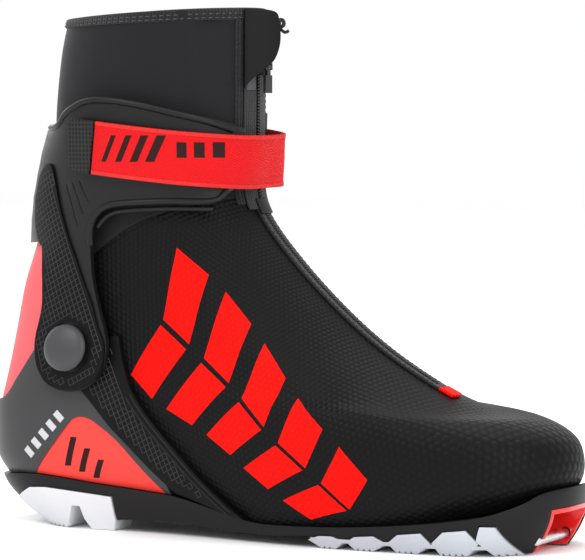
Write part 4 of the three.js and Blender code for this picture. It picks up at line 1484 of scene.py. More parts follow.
GRIP = smooth([
    (-99, 84), (-96.5, 93), (-96, 100), (-97, 110), (-99, 120), (-103, 124), (-105, 136), (-102.5, 148),
    (-98, 154.5), (-93, 156), (-90, 153), (-88, 147), (-85.5, 138), (-81, 126), (-77, 117), (-72.5, 106),
    (-68.5, 97), (-65.5, 88), (-62.2, 80), (-63.5, 70), (-71, 62.5), (-80, 60.4), (-90, 62.5), (-97, 70),
    (-99.4, 78), (-99, 84),
], 4)[:-1]

WAIST = [(30, 4.7), (16, 3.6), (-7, 3.8), (-25, 5), (-43, 5.5), (-60, 5), (-64.3, 4.5)]
HEEL_TREAD = [
    (-122, 8.5), (-114, 13), (-106, 16.9), (-98, 17.4), (-65.4, 14.8), (-65, 4.2),
    (-66.5, 0), (-77.5, 0), (-80.2, 4.4), (-81.5, 10), (-85.5, 10), (-89.3, 0), (-104.5, 0),
]
LUGS = [
    [(32.5, 3.4), (38, 0), (44.5, 0), (49, 3.4), (44, 5.4), (38, 5.2)],
    [(50.5, 3.4), (53.5, 0), (61.5, 0), (68.3, 3.6), (63, 6.6), (54.6, 5.8)],
    [(68.9, 3.9), (72, 0), (81, 0), (88, 4.6), (84.4, 9), (74.2, 7.8)],
    [(88.6, 5), (91.2, 0), (102, 0), (107.6, 5.4), (103.5, 11), (94.5, 10)],
    [(107, 6.6), (111.8, 0), (120, 0), (114, 12.3), (109, 12.5)],
]


def grown(points: Outline, gap: float) -> Outline:
    """Returns a convex outline grown by a gap."""
    p = np.array(points, float)
    out = p - p.mean(axis=0)
    return [tuple(q) for q in p + out / np.linalg.norm(out, axis=1, keepdims=True) * gap]


# ------------------------------------------------------------------ sub-assemblies


def below(line: Outline) -> Outline:
    """Returns the side-view region under a line."""
    return [*line, (AHEAD, line[-1][1]), (AHEAD, UNDER), (REAR, UNDER)]


def above(line: Outline) -> Outline:
    """Returns the side-view region over a line."""
    return [*line, (AHEAD, line[-1][1]), (AHEAD, OVER), (REAR, OVER)]


def both(make: Callable[[Side], None]) -> None:
    """Makes a piece on each side of the boot."""
    for side in Side:
        make(side)


@dataclass
class Inside(Assembly):
    """The padded inner boot and the hardware that the shell hides."""

    tongue_half: float = 24.0
    tongue_thickness: float = 3.0

    def build(self) -> None:
        """Builds the lining and tongue and finishes the hidden parts."""
        self.lining()
        self.tongue()
        hidden = {
            "felt": ("lasting_board", "insole", "strap_hook_patch", "strap_loop_patch"),
            "steel": ("pivot_nut_lateral", "pivot_nut_medial", "strap_anchor"),
            "cord": ("inner_lace",),
            "knit": ("eyestay_lateral", "eyestay_medial"),
            "zip": ("zip_slider", "zip_pull"),
        }
        for finish, nodes in hidden.items():
            for node in nodes:
                self.finish_node(node, finish)

    def finish_node(self, node: str, finish: str) -> None:
        """Gives a CAD node that stays a better finish."""
        slots = bpy.data.objects[node].data.materials
        if not slots:
            slots.append(self.materials[finish])
        for i in range(len(slots)):
            slots[i] = self.materials[finish]
        log.info("%s: finished as %s", node, finish)

    def lining(self) -> None:
        """Makes the brushed lining, from the insole to the rim."""
        obj = layer("boot_lining", STACK.liner_in, STACK.liner_out, 0.9, 12.96, AROUND // 2, Wave(0.25, 8))
        soften(obj, 0)
        self.dress(obj, "lining", "lining", None, "lining", "gaiter_lining", "collar_lining")

    def tongue(self) -> None:
        """Makes the padded tongue under the closed throat."""
        top = STACK.liner_in - STACK.gap
        obj = strip("padded_tongue", 4.7, 7.5, -self.tongue_half, self.tongue_half,
                    top - self.tongue_thickness, top, 30, 24, crown=0.5)
        soften(obj, 0.8, 3)
        self.dress(obj, "lining", "lining", "lower_boot", "tongue")


@dataclass
class Upper(Assembly):
    """The coated vamp, the softshell collar, the heel panel and their trims."""

    print_ink: float = 0.1
    print_length: float = 0.125
    print_lean: float = 0.048
    print_rails: tuple = (
        ((-54.3, 68.9), (-42.3, 57.6), (-11.4, 42.2), (10.6, 26.6), (42, 7.6)),
        ((-34.9, 122.7), (-12.2, 104.5), (10.6, 80.4), (28.2, 60.4), (48.8, 42.9), (69.1, 22.2)),
    )
    band_half: tuple[float, float] = (10.0, 13.6)
    rear_half: float = 8.6

    def build(self) -> None:
        """Builds the upper from the feather edge to the rim."""
        self.vamp()
        self.collar()
        self.heel_panel()
        self.rim()
        self.rear_panel()
        both(self.edge_band)
        both(self.seam)
        self.prints()

    def vamp(self) -> None:
        """Makes the dimpled vamp that runs up under the cuff."""
        obj = layer("vamp", -STACK.skin, 0, 0, 9.7, AROUND, Wave(0.3, 6.3), flat=True)
        keep(obj, below(VAMP_EDGE))
        soften(obj, 0.25)
        self.dress(obj, "vamp", "vamp", None, "vamp_shell", "ankle_gaiter")

    def collar(self) -> None:
        """Makes the softshell collar over the vamp."""
        obj = layer("collar", -STACK.skin, 0, 6.4, 12.95, AROUND, Wave(0.25, 6.3, 2.1))
        keep(obj, above(raised(VAMP_EDGE, 0.05)))
        soften(obj, 0.25)
        self.dress(obj, "softshell", "softshell", None, "collar_shell")

    def heel_panel(self) -> None:
        """Makes the red panel over the heel, in one piece up to the cuff."""
        obj = layer("heel_panel_cover", 0.05, 0.9, 2.2, 9, AROUND)
        keep(obj, PANEL)
        soften(obj, 0.3)
        self.dress(obj, "panel", "red_fabric", None, "heel_panel", "heel_panel_upper")

    def rim(self) -> None:
        """Makes the knitted tape folded over the rim, and its stitches."""
        inner = STACK.liner_in
        loop = [(12.64, 0.1), (12.65, 0.6), (12.7, 0.95), (12.82, 1.1), (12.92, 1.0), (12.98, 0.6), (13, 0),
                (13, -2), (13, -4), (12.98, inner - 0.2), (12.92, inner - 0.6), (12.82, inner - 0.7),
                (12.7, inner - 0.6), (12.64, inner - 0.1), (12.64, -4), (12.64, -2)]
        obj = band("rim_tape", UPPER, loop, AROUND)
        soften(obj, 0)
        self.dress(obj, "binding", "knit", "cuff", "collar_binding")
        for name, level in (("low", 12.69), ("high", 12.8)):
            a = np.linspace(0, 2 * math.pi, 420, endpoint=False)
            line = UPPER.offset(np.full(a.shape, level), a, np.full(a.shape, 1.05))
            self.dress(stitches(f"rim_stitches_{name}", line, 3.0, 1.9, 0.22), "grey_thread", "lace", "cuff")

    def rear_panel(self) -> None:
        """Makes the stretch panel down the back of the collar, with its seams."""
        half = self.rear_half
        obj = strip("stretch_panel", 11.15, 12.66, -half, half, 0.05, 0.6, 40, 18, front=False)
        soften(obj, 0.2)
        self.dress(obj, "stretch", "stretch", "cuff", "collar_rear_panel")
        for side in Side:
            y = side.value * (half - 1.1)
            line = [UPPER.near(s, y, 0.6, False) for s in np.linspace(11.2, 12.62, 40)]
            self.dress(stitches(f"stretch_stitches_{side.word}", line), "thread", "lace", "cuff")

    def edge_band(self, side: Side) -> None:
        """Makes the stitched band along the collar's edge beside the zip."""
        near, far = self.band_half
        low, high = sorted((side.value * near, side.value * far))
        obj = strip(f"edge_band_{side.word}", 9.05, 12.66, low, high, 0.02, 0.7, 90, 5)
        soften(obj, 0.2)
        self.dress(obj, "binding", "softshell", "cuff")
        rows = []
        for y in (near + 0.8, far - 0.8):
            line = [UPPER.near(s, side.value * y, 0.72) for s in np.linspace(9.1, 12.6, 90)]
            rows.append(stitches("row", line, 2.4, 1.6, 0.26))
        self.dress(join(f"edge_stitches_{side.word}", rows), "thread", "lace", "cuff")

    def seam(self, side: Side) -> None:
        """Sews the collar to the vamp with two rows of stitches."""
        rows = []
        for dz in (-1.2, 1.3):
            line = [p for p in raised(VAMP_EDGE, dz) if -57 < p[0] < -6]
            rows.append(stitches("row", UPPER.lay(resampled(line, 1.5), side, 0.1), 2.6, 1.8, 0.24))
        self.dress(join(f"collar_seam_{side.word}", rows), "thread", "lace", None)

    def prints(self) -> None:
        """Prints the slanted blocks down the outer side and three small ones inside."""
        films = []
        for i in range(5):
            for low, high in ((0.0, 0.47), (0.515, 1.0)):
                films.append(self.ink(self.block(0.015 + 0.197 * i, low, high), Side.OUTER))
        self.dress(join("side_print_outer", films), "print", "red_fabric", None)
        arrow = ((0, 0), (9, 0), (17, -10), (9, -20), (0, -20), (8, -10))
        films = []
        for i in range(3):
            x, z = -30 + 22 * i, 66 - 13 * i
            films.append(self.ink([(x + dx, z + dz) for dx, dz in arrow], Side.INNER))
        self.dress(join("side_print_inner", films), "print", "red_fabric", None)

    def between(self, t: float, w: float) -> tuple[float, float]:
        """Returns the place t along the print's two rails and w from the lower to the upper one."""
        ends = []
        for rail in self.print_rails:
            line = np.array(resampled(smooth(list(rail)), 1))
            ends.append(np.array([np.interp(t * (len(line) - 1), np.arange(len(line)), c) for c in line.T]))
        return tuple(ends[0] * (1 - w) + ends[1] * w)

    def block(self, start: float, low: float, high: float) -> Outline:
        """Returns one slanted block, with its edges bent forward at half height.

        Args:
            start: where it starts along the rails.
            low: its lower end between the rails.
            high: its upper end.
        """
        steps = np.linspace(low, high, 8)
        outline = []
        for t, row in ((start, steps), (start + self.print_length, reversed(steps))):
            for w in row:
                bent = t + self.print_lean * (1 - abs(2 * w - 1))
                outline.append(self.between(min(0.995, bent), w))
        return outline

    def ink(self, outline: Outline, side: Side) -> bpy.types.Object:
        """Returns a thin film of ink on the vamp, cut to an outline."""
        obj = layer("ink", 0.01, self.print_ink, 0.1, 9, AROUND, Wave(0.3, 6.3), flat=True)
        one_side(obj, side)
        keep(obj, outline)
        return soften(obj, 0)


@dataclass
class HeelHold(Assembly):
    """The heel counter with its insets and the arms that carry the cuff."""

    rib: float = 0.75
    inset_step: float = 0.45

    def build(self) -> None:
        """Builds the counter, insets and arms."""
        self.counter()
        both(self.inset)
        both(self.arm)
        self.marks()

    def counter(self) -> None:
        """Makes the heel counter with its window for the insets."""
        obj = layer("heel_counter_shell", STACK.gap, STACK.counter_out, 0, 7, AROUND)
        keep(obj, COUNTER_SIDE, above(FOOT_LINE))
        cut(obj, prism("window", INSET), "DIFFERENCE")
        soften(obj, 0.5, 3)
        self.dress(obj, "counter", "counter", "lower_boot", "heel_counter")

    def inset(self, side: Side) -> None:
        """Makes one red inset."""
        obj = layer("inset", STACK.gap, STACK.counter_out - self.inset_step, 0, 4, AROUND)
        keep(obj, INSET, above(FOOT_LINE))
        one_side(obj, side, 8)
        obj.name = f"inset_cover_{side.part}"
        soften(obj, 0.4, 3)
        self.dress(obj, "inset", "red_plastic", "lower_boot", f"inset_{side.part}")

    def arm(self, side: Side) -> None:
        """Makes one stabiliser arm, with its raised grid and edge ribs."""
        obj = layer("arm", STACK.gap, STACK.arm_out, 0, 8, AROUND)
        limb = prism("limb", [*ARM_FRONT, *raised(ARM_BACK, 0.3), (-30, 18), (-13.6, 13.6)])
        hub = prism("hub", circle(*PIVOT, PIVOT_LOBE - 4))
        cut(limb, hub, "UNION")
        cut(obj, limb)
        keep(obj, above(FOOT_LINE))
        cut(obj, prism("bore", circle(*PIVOT, PIVOT_BORE)), "DIFFERENCE")
        one_side(obj, side)
        obj.name = f"arm_{side.part}"
        soften(obj, 0.45, 3)
        self.dress(obj, "grid", "grid", "lower_boot", f"stabiliser_arm_{side.part}")
        patch = [(x - 3.5, z - 2) for x, z in ARM_FRONT if z > 9]
        patch += [(x + 2, z + 2) for x, z in ARM_BACK if 24 < z < 60]
        net = lattice(f"arm_grid_{side.part}", patch, side, STACK.arm_out)
        self.dress(net, "net", "grid", "lower_boot")
        ribs = []
        for shift in (1.2, 3.2):
            line = [(x - shift, z - 0.6 * shift) for x, z in ARM_FRONT if 12 < z < 62]
            ribs.append(tube("rib", UPPER.lay(resampled(line, 2.5), side, STACK.arm_out), self.rib / 2))
        self.dress(join(f"arm_ribs_{side.part}", ribs), "cuff", "grid", "lower_boot")

    def marks(self) -> None:
        """Prints plain bars on the counter and on the inset."""
        run, rise = np.array([0.7, 0.714]), np.array([-0.714, 0.7])
        corners = ((-1.5, -2.4), (1.5, -2.4), (1.5, 2.4), (-1.5, 2.4))
        bars = []
        for i in range(5):
            centre = np.array([-104.0, 32.6]) + run * 5.6 * i
            outline = [tuple(centre + run * a + rise * b) for a, b in corners]
            bars.append(self.mark(outline, STACK.counter_out))
        self.dress(join("counter_bars", bars), "mark", "counter", "lower_boot")
        bars = []
        for i in range(3):
            x, top, foot = 6.5 * i, 40 - 4.6 * i, 27.4 - 2.4 * i
            outline = [(x - 83, top), (x - 80, top), (x - 84, foot), (x - 87, foot)]
            bars.append(self.mark(outline, STACK.counter_out - self.inset_step))
        self.dress(join("inset_bars", bars), "dark_mark", "red_plastic", "lower_boot")

    def mark(self, outline: Outline, d: float) -> bpy.types.Object:
        """Returns a thin printed mark on the outer side."""
        obj = layer("mark", d + 0.005, d + 0.06, 0, 7, AROUND)
        one_side(obj, Side.OUTER)
        keep(obj, outline)
        return soften(obj, 0)


@dataclass
class Cuff(Assembly):
    """The hinged cuff with its grip struts, beads and rivets."""

    bead: float = 1.45
    groove: float = 0.45
    groove_lines: tuple = (
        ((-81.8, 147.6), (-75.9, 130.4)),
        ((-78.3, 148.5), (-72.6, 135.2)),
        ((-74.4, 149.4), (-69.6, 140.2)),
    )
    inner_front: float = -24.0
    rivet_tilt: float = 10.0
    rivet_dome: float = 2.9

    def build(self) -> None:
        """Builds the cuff's plate and everything fixed to it."""
        self.plate()
        both(self.strut)
        both(self.beads)
        both(self.rivet)

    def plate(self) -> None:
        """Makes the moulded plate, with thin grooves beside the strut."""
        obj = layer("cuff_plate", STACK.cuff_in, STACK.cuff_out, 2, 12, AROUND, HUG)
        side = prism("side", [*CUFF_FRONT, *CUFF_TOP, *CUFF_BACK])
        cut(side, prism("lobe", circle(*PIVOT, PIVOT_LOBE)), "UNION")
        cut(obj, side)
        cut(obj, prism("bore", circle(*PIVOT, PIVOT_BORE)), "DIFFERENCE")
        cut(obj, box("opening", (self.inner_front, 8, 125), (100, 90, 260)), "DIFFERENCE")
        for ends in self.groove_lines:
            for s in Side:
                line = UPPER.lay(resampled(list(ends), 1.5), s, STACK.cuff_out, HUG)
                cut(obj, tube("groove", line, self.groove), "DIFFERENCE")
        soften(obj, 0.6, 3)
        self.dress(obj, "cuff", "cuff", "cuff", "cuff_shell")

    def strut(self, side: Side) -> None:
        """Makes one grip strut with its raised grid."""
        base = STACK.cuff_out
        top = base + STACK.gap + STACK.grip
        obj = layer("strut", base - 0.2, top, 2, 12, AROUND, HUG)
        keep(obj, GRIP)
        one_side(obj, side, 14)
        cut(obj, prism("seat", circle(*PIVOT, 10.9)), "DIFFERENCE")
        obj.name = f"grip_strut_{side.part}"
        soften(obj, 0.45, 3)
        self.dress(obj, "grid", "grid", "cuff", f"cuff_grip_{side.part}")
        centre = np.mean(GRIP, axis=0)
        inner = [tuple(np.array(p) + (centre - p) / np.linalg.norm(centre - p) * 1.6) for p in GRIP]
        grid = lattice(f"strut_grid_{side.part}", inner, side, top, hole=(*PIVOT, 12.2), draw=HUG)
        self.dress(grid, "net", "grid", "cuff")

    def beads(self, side: Side) -> None:
        """Makes the beads that edge the cuff over the ankle and round the top."""
        low = smooth([
            (-69.6, 122), (-69.6, 127.5), (-68.2, 132.3), (-65.2, 136), (-61, 138.6), (-54, 140),
            (-35, 141), (-18.4, 141), (-14.6, 144), (-12.8, 149),
        ])
        inner = [(x + 1.4, z - 3.1) for x, z in low if -68 < x < -19.5]
        high = smooth([
            (-98, 171.2), (-91, 171.6), (-86.5, 173.4), (-82.5, 177), (-77.5, 179.8), (-69.4, 182.6),
            (-59.2, 183), (-44.8, 181), (-32, 177.8), (-20, 174.4), (-12, 170.6),
        ])
        if side is Side.INNER:
            end = self.inner_front - 0.8
            low, inner, high = ([p for p in line if p[0] < end] for line in (low, inner, high))
        out = STACK.cuff_out - 0.3
        pieces = [
            tube("bead", UPPER.lay(resampled(low, 2), side, out), self.bead),
            tube("bead", UPPER.lay(resampled(inner, 2), side, STACK.cuff_in + 0.4), self.bead * 0.75),
            tube("bead", UPPER.lay(resampled(high, 2), side, out, HUG), self.bead),
        ]
        self.dress(join(f"cuff_beads_{side.part}", pieces), "cuff", "cuff", "cuff")

    def rivet(self, side: Side) -> None:
        """Makes one domed rivet, with its shank through the arm."""
        low, high = (Vector(v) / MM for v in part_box(f"pivot_rivet_{side.part}"))
        y = low.y if side is Side.OUTER else high.y
        profile = [
            (0, self.rivet_dome), (3, 2.8), (6, 2.35), (8, 1.75), (9.3, 0.95), (9.9, 0.2), (10, -0.3),
            (9.6, -0.9), (4, -1.0), (4, -13), (3.4, -13.6), (0, -13.6),
        ]
        tilt = math.radians(self.rivet_tilt)
        axis = Vector((0, side.value * math.cos(tilt), math.sin(tilt)))
        centre = Vector((PIVOT[0], y - side.value * self.rivet_dome, PIVOT[1]))
        obj = turned(f"rivet_{side.part}", profile, centre, axis)
        soften(obj, 0)
        self.dress(obj, "rivet", "rivet", "cuff", f"pivot_rivet_{side.part}")


@dataclass
class Strap(Assembly):
    """The woven strap round the cuff, with its grip and printed bars."""

    width: float = 22.5
    grip_end: float = -77.0
    grip_start: float = -66.0

    def top(self, inset: float = 0) -> Outline:
        """Returns the strap's upper edge, moved in by inset."""
        return raised([(-92, 176.7), (-65, 174.6), (-30, 170.6), (0, 167.7), (20, 166.5)], -inset)

    def side(self, inset: float = 0, depth: float | None = None) -> Outline:
        """Returns the strap's outline in side view, or a strip of it."""
        low = self.top(self.width - inset if depth is None else depth)
        return [*self.top(inset), *reversed(low)]

    def build(self) -> None:
        """Builds the strap, its grip and its bars."""
        ends = self.medial_start()
        obj = self.cloth("strap", STACK.strap_in, STACK.strap_out, self.side(), ends)
        soften(obj, 0.35)
        self.dress(obj, "webbing", "webbing", "strap", "strap_webbing")
        edges = []
        for inset, depth in ((0.15, 1.7), (self.width - 1.7, self.width - 0.15)):
            outline = self.side(inset, depth)
            edges.append(self.cloth("edge", STACK.strap_out - 0.05, STACK.strap_out + 0.16, outline, ends))
        self.dress(soften(join("strap_selvedges", edges), 0), "selvedge", "webbing", "strap")
        self.grip()
        self.bars()

    def medial_start(self) -> float:
        """Returns how far forward the webbing starts on the inner side."""
        low, high = (np.array(v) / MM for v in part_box("strap_anchor"))
        return (low[0] + high[0]) / 2 + 9

    def cloth(self, name: str, inner: float, outer: float, side: Outline, start: float) -> bpy.types.Object:
        """Returns a layer of the strap from its grip round to the inner side."""
        obj = layer(name, inner, outer, 8.6, 11.4, AROUND, FOLD)
        keep(obj, side)
        seam = [(self.grip_start - 0.9, 140), (AHEAD, 140), (AHEAD, 190), (self.grip_start + 5.6, 190)]
        room = prism("room", seam, -SPAN, 0)
        cut(room, box("inner", (start, -0.01, 0), (AHEAD, SPAN, OVER)), "UNION")
        return cut(obj, room)

    def grip(self) -> None:
        """Makes the moulded grip at the strap's end."""
        end = [(self.grip_end + 3, 176), (self.grip_start + 3.8, 180), (self.grip_start - 0.8, 148),
               (self.grip_end + 3, 152.5), (self.grip_end, 156), (self.grip_end, 172.5)]
        obj = layer("grip", STACK.strap_in, STACK.strap_out + 0.6, 8, 12, AROUND)
        keep(obj, self.side(), end)
        one_side(obj, Side.OUTER)
        obj.name = "grip_end"
        soften(obj, 0.4, 3)
        self.dress(obj, "grip", "grip", "strap", "strap_grip")

    def bars(self) -> None:
        """Prints slanted bars and a dashed line along the strap."""
        pieces = []
        slants = [(-60 + 6.5 * i, 2.2 + 0.5 * i) for i in range(4)]
        dashes = np.arange(-28, -12, 6.2)
        shapes = [[(x, 157.5), (x + w, 157.5), (x + w + 5, 168.5), (x + 5, 168.5)] for x, w in slants]
        shapes += [[(x, 159.3), (x + 3.6, 159.2), (x + 3.6, 165.6), (x, 165.7)] for x in dashes]
        for shape in shapes:
            obj = layer("bar", STACK.strap_out + 0.01, STACK.strap_out + 0.08, 9, 11, AROUND, FOLD)
            keep(obj, shape)
            pieces.append(one_side(obj, Side.OUTER))
        self.dress(soften(join("strap_bars", pieces), 0), "dark_mark", "webbing", "strap")


@dataclass
class Closure(Assembly):
    """The zip from instep to rim, and the flap over its top."""

    tape_half: float = 9.6
    band_half: float = 4.6
    pitch: float = 1.35

    def build(self) -> None:
        """Builds the tapes, teeth, end pieces and flap."""
        self.instep()
        both(self.tape)
        self.teeth("front_coil", 8.98, 12.6, STACK.gap + STACK.tape + 0.25, "cuff", "zip_teeth")
        self.teeth("instep_coil", 5.72, 8.9, STACK.gap + STACK.tape + 0.2, None, "instep_zip_teeth")
        self.tag()
        self.garage()
        self.flap()
        self.inner_tab()
        self.knot()

    def instep(self) -> None:
        """Makes the knitted band down the instep."""
        half, top = self.band_half, STACK.gap + STACK.tape
        obj = strip("instep_band", 5.64, 9.05, -half, half, 0.1, top, 120, 10)
        soften(obj, 0.3)
        self.dress(obj, "knit", "zip", None, "instep_zip_tape", "zip_bend")
        rows = []
        for side in Side:
            line = [UPPER.near(s, side.value * (half - 0.7), top) for s in np.linspace(5.7, 9, 120)]
            rows.append(stitches("row", line, 2.4, 1.6, 0.22))
        self.dress(join("instep_stitches", rows), "thread", "lace", None)

    def tape(self, side: Side) -> None:
        """Makes one tape of the front zip."""
        low, high = sorted((side.value * 1.2, side.value * self.tape_half))
        foot, top = STACK.gap, STACK.gap + STACK.tape
        obj = strip(f"zip_tape_cover_{side.part}", 8.95, 12.64, low, high, foot, top, 90, 12)
        soften(obj, 0.25)
        self.dress(obj, "knit", "zip", "cuff", f"zip_tape_{side.part}")

    def teeth(self, name: str, low: float, high: float, d: float, body: str | None, node: str) -> None:
        """Makes a run of interlocked teeth along the centre line."""
        rows = []
        for i, y in enumerate((-0.75, 0.75)):
            line = [UPPER.near(s, 0.0, d) for s in np.linspace(low, high, 240)]
            line = np.array(line) + (0, y, 0)
            rows.append(beads("row", line, self.pitch, (1.15, 0.55, 0.42), i * 0.5))
        self.dress(join(name, rows), "zip", "zip", body, node)

    def tag(self) -> None:
        """Makes the red tag at the zip's lower end."""
        half, top = self.band_half, STACK.gap + STACK.tape + 0.4
        obj = strip("end_tag", 5.4, 5.62, -half, half, 0.1, top, 8, 10)
        soften(obj, 0.4, 3)
        self.dress(obj, "print", "red_plastic", "lower_boot", "zip_end_tag")

    def garage(self) -> None:
        """Makes the moulded keeper over the bend of the zip."""
        obj = strip("zip_keeper", 8.84, 9.14, -4.9, 4.9, 0.2, 2.2, 12, 12, crown=0.5)
        soften(obj, 0.8, 4)
        self.dress(obj, "cuff", "zip", "cuff")

    def flap(self) -> None:
        """Makes the D-shaped flap that folds over the zip's top."""
        low, high = (np.array(v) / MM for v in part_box("collar_tab"))
        root = UPPER.near(11.9, -10.7, STACK.gap + STACK.tape + 0.5)
        z0, z1, reach, thickness = low[2], high[2], 16.0, 1.6
        edge = smooth([
            (0, 0), (0.17, 0.1), (0.56, 0.25), (0.83, 0.37), (0.98, 0.58), (0.96, 0.82),
            (0.84, 0.96), (0.3, 1),
        ], 8)
        outline = [(u * reach, z0 + w * (z1 - z0)) for u, w in [*edge, (0, 1)]]
        obj = prism("zip_flap", outline, -thickness, 0)
        refine(obj, 1.8)
        v = coordinates(obj) / MM
        share = v[:, 0] / reach
        bow = 1.1 * np.sin(np.clip(share, 0, 1) * math.pi) - 1.5 * np.clip(share - 0.5, 0, 1) ** 2
        u, w = v[:, 0], v[:, 1] - 0.35 * bow
        c = math.cos(math.radians(45))
        move_to(obj, np.stack([root[0] + c * u - c * w, root[1] + c * u + c * w, v[:, 2]], -1))
        soften(obj, 0.45, 3)
        self.dress(obj, "tab", "tab", "collar_tab", "collar_tab")

    def inner_tab(self) -> None:
        """Makes the short grey tab that shows under the flap."""
        obj = strip("under_tab", 11.24, 11.72, -9.4, -3.6, STACK.gap + STACK.tape + 0.1, 2.1, 12, 8)
        soften(obj, 0.3)
        self.dress(obj, "felt", "knit", "cuff")

    def knot(self) -> None:
        """Makes the knotted end of the inner lace at the front of the rim."""
        t = np.linspace(0, 2 * math.pi, 60, endpoint=False)
        centre = np.array([-3.5, 3.0, 215.5])
        across, up = np.sin(t) + 2 * np.sin(2 * t), np.cos(t) - 2 * np.cos(2 * t)
        loop = np.stack([across, up, -1.3 * np.sin(3 * t)], -1)
        pieces = [tube("knot", list(centre + loop * (1.0, 0.9, 1.1)), 0.85, closed=True)]
        tail = smooth3([
            (-11.5, 4, 209), (-8, 4, 214), (-4.5, 3.4, 216), (-2.0, 2.6, 213.4), (0.6, 2.2, 211.6),
            (2.4, 2.4, 212.2),
        ])
        pieces.append(tube("tail", tail, 0.7))
        self.dress(join("lace_knot", pieces), "cord", "lace", "cuff")


@dataclass
class Sole(Assembly):
    """The sole plate with its treads and the toe's binding bar."""

    gap: float = 0.3
    core_half: float = 13.3
    tread_proud: float = 0.6
    wall: float = 1.7
    slot_half: float = 13.6
    bar_half: float = 17.5

    def build(self) -> None:
        """Builds the plate, treads and toe piece."""
        self.plate()
        self.heel()
        both(self.forefoot)
        self.insert()
        self.bar()

    def slot(self, wall: float) -> bpy.types.Object:
        """Returns the wedge behind the bar, grown by a wall."""
        roof = [(110 - wall, -5), (110 - wall, 13.4 + wall), (160, 20.4 + wall), (160, -5)]
        return prism("slot", roof, -self.slot_half - wall, self.slot_half + wall)

    def blank(self, name: str, d: float) -> bpy.types.Object:
        """Returns the solid that the sole is cut from."""
        return filled(name, SOLE, d, 0, SOLE.top)

    def plate(self) -> None:
        """Makes the moulded plate up to the feather edge."""
        outline = [*FEATHER, (150, 21), (134.3, 16.5), (128.5, 5.5), (125, 0.4), (120.6, 0.4), (114.6, 12.9),
                   (108.4, 13.1), (107.2, 4.7), *smooth(WAIST, 4), (-64.8, 15.2), (-98, 17.8), (-106, 17.3),
                   (-114.2, 13.4), (-122.3, 8.9), (-131, 13), (-150, 13)]
        obj = self.blank("plate", 0)
        keep(obj, outline)
        cut(obj, filled("foot", UPPER, 0.3, 0, 4), "DIFFERENCE")
        half = self.core_half - self.gap
        for lug in LUGS:
            room = prism("room", grown(lug, 0.45))
            cut(room, box("core", (BEHIND, -half, -20), (AHEAD, half, 80)), "DIFFERENCE")
            cut(obj, room, "DIFFERENCE")
        cut(obj, self.slot(self.wall + self.gap), "DIFFERENCE")
        obj.name = "sole_shell"
        soften(obj, 0.4)
        self.dress(obj, "shell", "shell", "lower_boot", "sole_plate")

    def teeth(
        self, obj: bpy.types.Object, x0: float, x1: float, pitch: float = 3.0, depth: float = 0.9
    ) -> None:
        """Cuts the grooves across the underside of a tread."""
        for i in range(round((x1 - x0) / pitch)):
            x = x0 + (i + 0.5) * pitch
            groove = [(x - 0.7, -1), (x + 0.7, -1), (x + 0.35, depth), (x - 0.35, depth)]
            cut(obj, prism("groove", groove), "DIFFERENCE")

    def heel(self) -> None:
        """Makes the heel tread, split by the channel for the guide rail."""
        obj = self.blank("heel_block", self.tread_proud)
        keep(obj, HEEL_TREAD)
        cut(obj, box("rail", (-200, -12, -5), (0, 12, 6.2)), "DIFFERENCE")
        self.teeth(obj, -103, -89)
        soften(obj, 0.5, 3)
        self.dress(obj, "tread", "tread", "lower_boot", "heel_tread")

    def forefoot(self, side: Side) -> None:
        """Makes the row of hooked lugs under one side of the forefoot."""
        obj = self.blank("lugs", self.tread_proud)
        web = prism("web", [(34, 2.8), (111, 2.8), (111, 4.4), (34, 4.4)])
        for lug in LUGS:
            cut(web, prism("lug", lug), "UNION")
        cut(obj, web)
        one_side(obj, side, self.core_half)
        cut(obj, self.slot(self.wall + self.gap), "DIFFERENCE")
        for lug in LUGS:
            foot = [x for x, z in lug if z == 0]
            self.teeth(obj, min(foot), max(foot), 2.6, 0.8)
        obj.name = f"forefoot_lugs_{side.part}"
        soften(obj, 0.35)
        # the forefoot finish is the tread rubber with painted shade
        self.dress(obj, "forefoot", "tread", "lower_boot", f"forefoot_tread_{side.part}")

    def insert(self) -> None:
        """Makes the glossy insert round the bar."""
        obj = self.slot(self.wall)
        cut(obj, self.slot(0), "DIFFERENCE")
        keep(obj, [(100, 0.7), (124.7, 0.7), (128.2, 5.6), (134, 16.6), (136, 40), (100, 40)])
        cut(obj, self.blank("room", -self.gap))
        x, z, r = BAR
        cut(obj, prism("hole", circle(x, z, r + 0.3, 40)), "DIFFERENCE")
        obj.name = "toe_lining"
        soften(obj, 0.3)
        self.dress(obj, "insert", "red_plastic", "lower_boot", "toe_insert")

    def bar(self) -> None:
        """Makes the steel bar that the binding takes hold of."""
        x, z, r = BAR
        obj = prism("binding_bar", circle(x, z, r, 48), -self.bar_half, self.bar_half)
        soften(obj, 0.3)
        self.dress(obj, "steel", "steel", "lower_boot", "toe_bar")


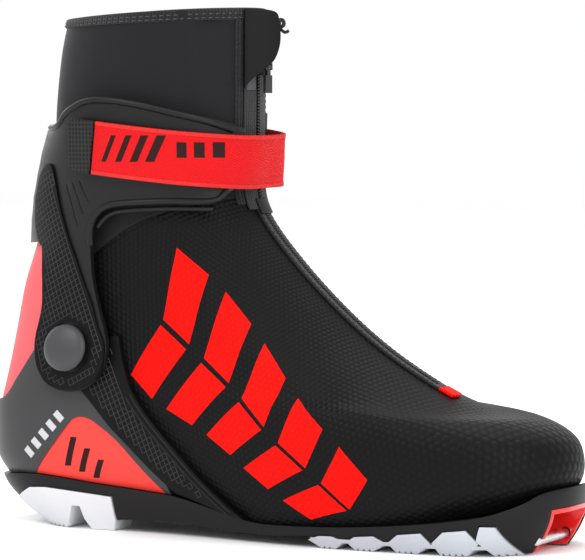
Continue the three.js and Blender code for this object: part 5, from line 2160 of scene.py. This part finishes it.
@dataclass(frozen=True)
class Studio:
    """The camera, the floor and the soft light."""

    azimuth: float = 27.0
    elevation: float = 3.13
    distance: float = 1.5
    lens: float = 218.9
    aim: tuple[float, float, float] = (0.0054, 0.0, 0.1073)

    def camera(self) -> None:
        """Sets up the camera."""
        az, el = math.radians(self.azimuth), math.radians(self.elevation)
        aim = Vector(self.aim)
        away = Vector((math.sin(az) * math.cos(el), -math.cos(az) * math.cos(el), math.sin(el)))
        bpy.ops.object.camera_add(location=aim + away * self.distance)
        camera = bpy.context.object
        camera.rotation_euler = (-away).to_track_quat("-Z", "Y").to_euler()
        camera.data.lens = self.lens
        camera.data.sensor_width = 36
        camera.data.clip_end = 20
        bpy.context.scene.camera = camera

    def light(self) -> None:
        """Sets up the floor and the lights."""
        bpy.ops.object.select_all(action="DESELECT")
        bpy.ops.mesh.primitive_plane_add(size=8, location=(0, 0, -0.0002))
        floor = bpy.context.object
        floor.name = "studio_floor"
        g = Graph("floor_paper")
        paper = g.mix(g.noise(3, 2), (0.965, 0.965, 0.965, 1), (0.985, 0.985, 0.985, 1))
        floor.data.materials.append(g.finish(Base_Color=paper, Roughness=0.9))
        bpy.context.scene.view_settings.view_transform = "Standard"
        world = bpy.data.worlds.new("studio")
        bpy.context.scene.world = world
        world.use_nodes = True
        sky = world.node_tree.nodes["Background"].inputs
        sky["Color"].default_value = (1, 1, 1, 1)
        sky["Strength"].default_value = 1.0
        for name, place, size, power in (
            ("key", (-0.35, -1.3, 1.35), (1.0, 1.0), 14),
            ("front", (1.5, -0.9, 0.9), (0.6, 1.4), 12),
            ("top", (0.1, 0.3, 1.7), (1.4, 0.9), 12),
            ("back", (-1.3, 1.0, 0.9), (0.8, 1.2), 7),
        ):
            bpy.ops.object.light_add(type="AREA", location=place)
            lamp = bpy.context.object
            lamp.name = f"{name}_light"
            lamp.rotation_euler = (Vector((0, 0, 0.1)) - Vector(place)).to_track_quat("-Z", "Y").to_euler()
            lamp.data.shape = "RECTANGLE"
            lamp.data.size, lamp.data.size_y = size
            lamp.data.energy = power


def main() -> None:
    """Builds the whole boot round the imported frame."""
    logging.basicConfig(level=logging.INFO, format="%(name)s: %(message)s")
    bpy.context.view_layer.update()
    studio = Studio()
    studio.camera()
    materials = {key: finish.material() for key, finish in FINISHES.items()}
    for kind in (Sole, Inside, Upper, HeelHold, Cuff, Strap, Closure):
        kind(materials).build()
    studio.light()


if __name__ == "__main__":
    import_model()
    main()
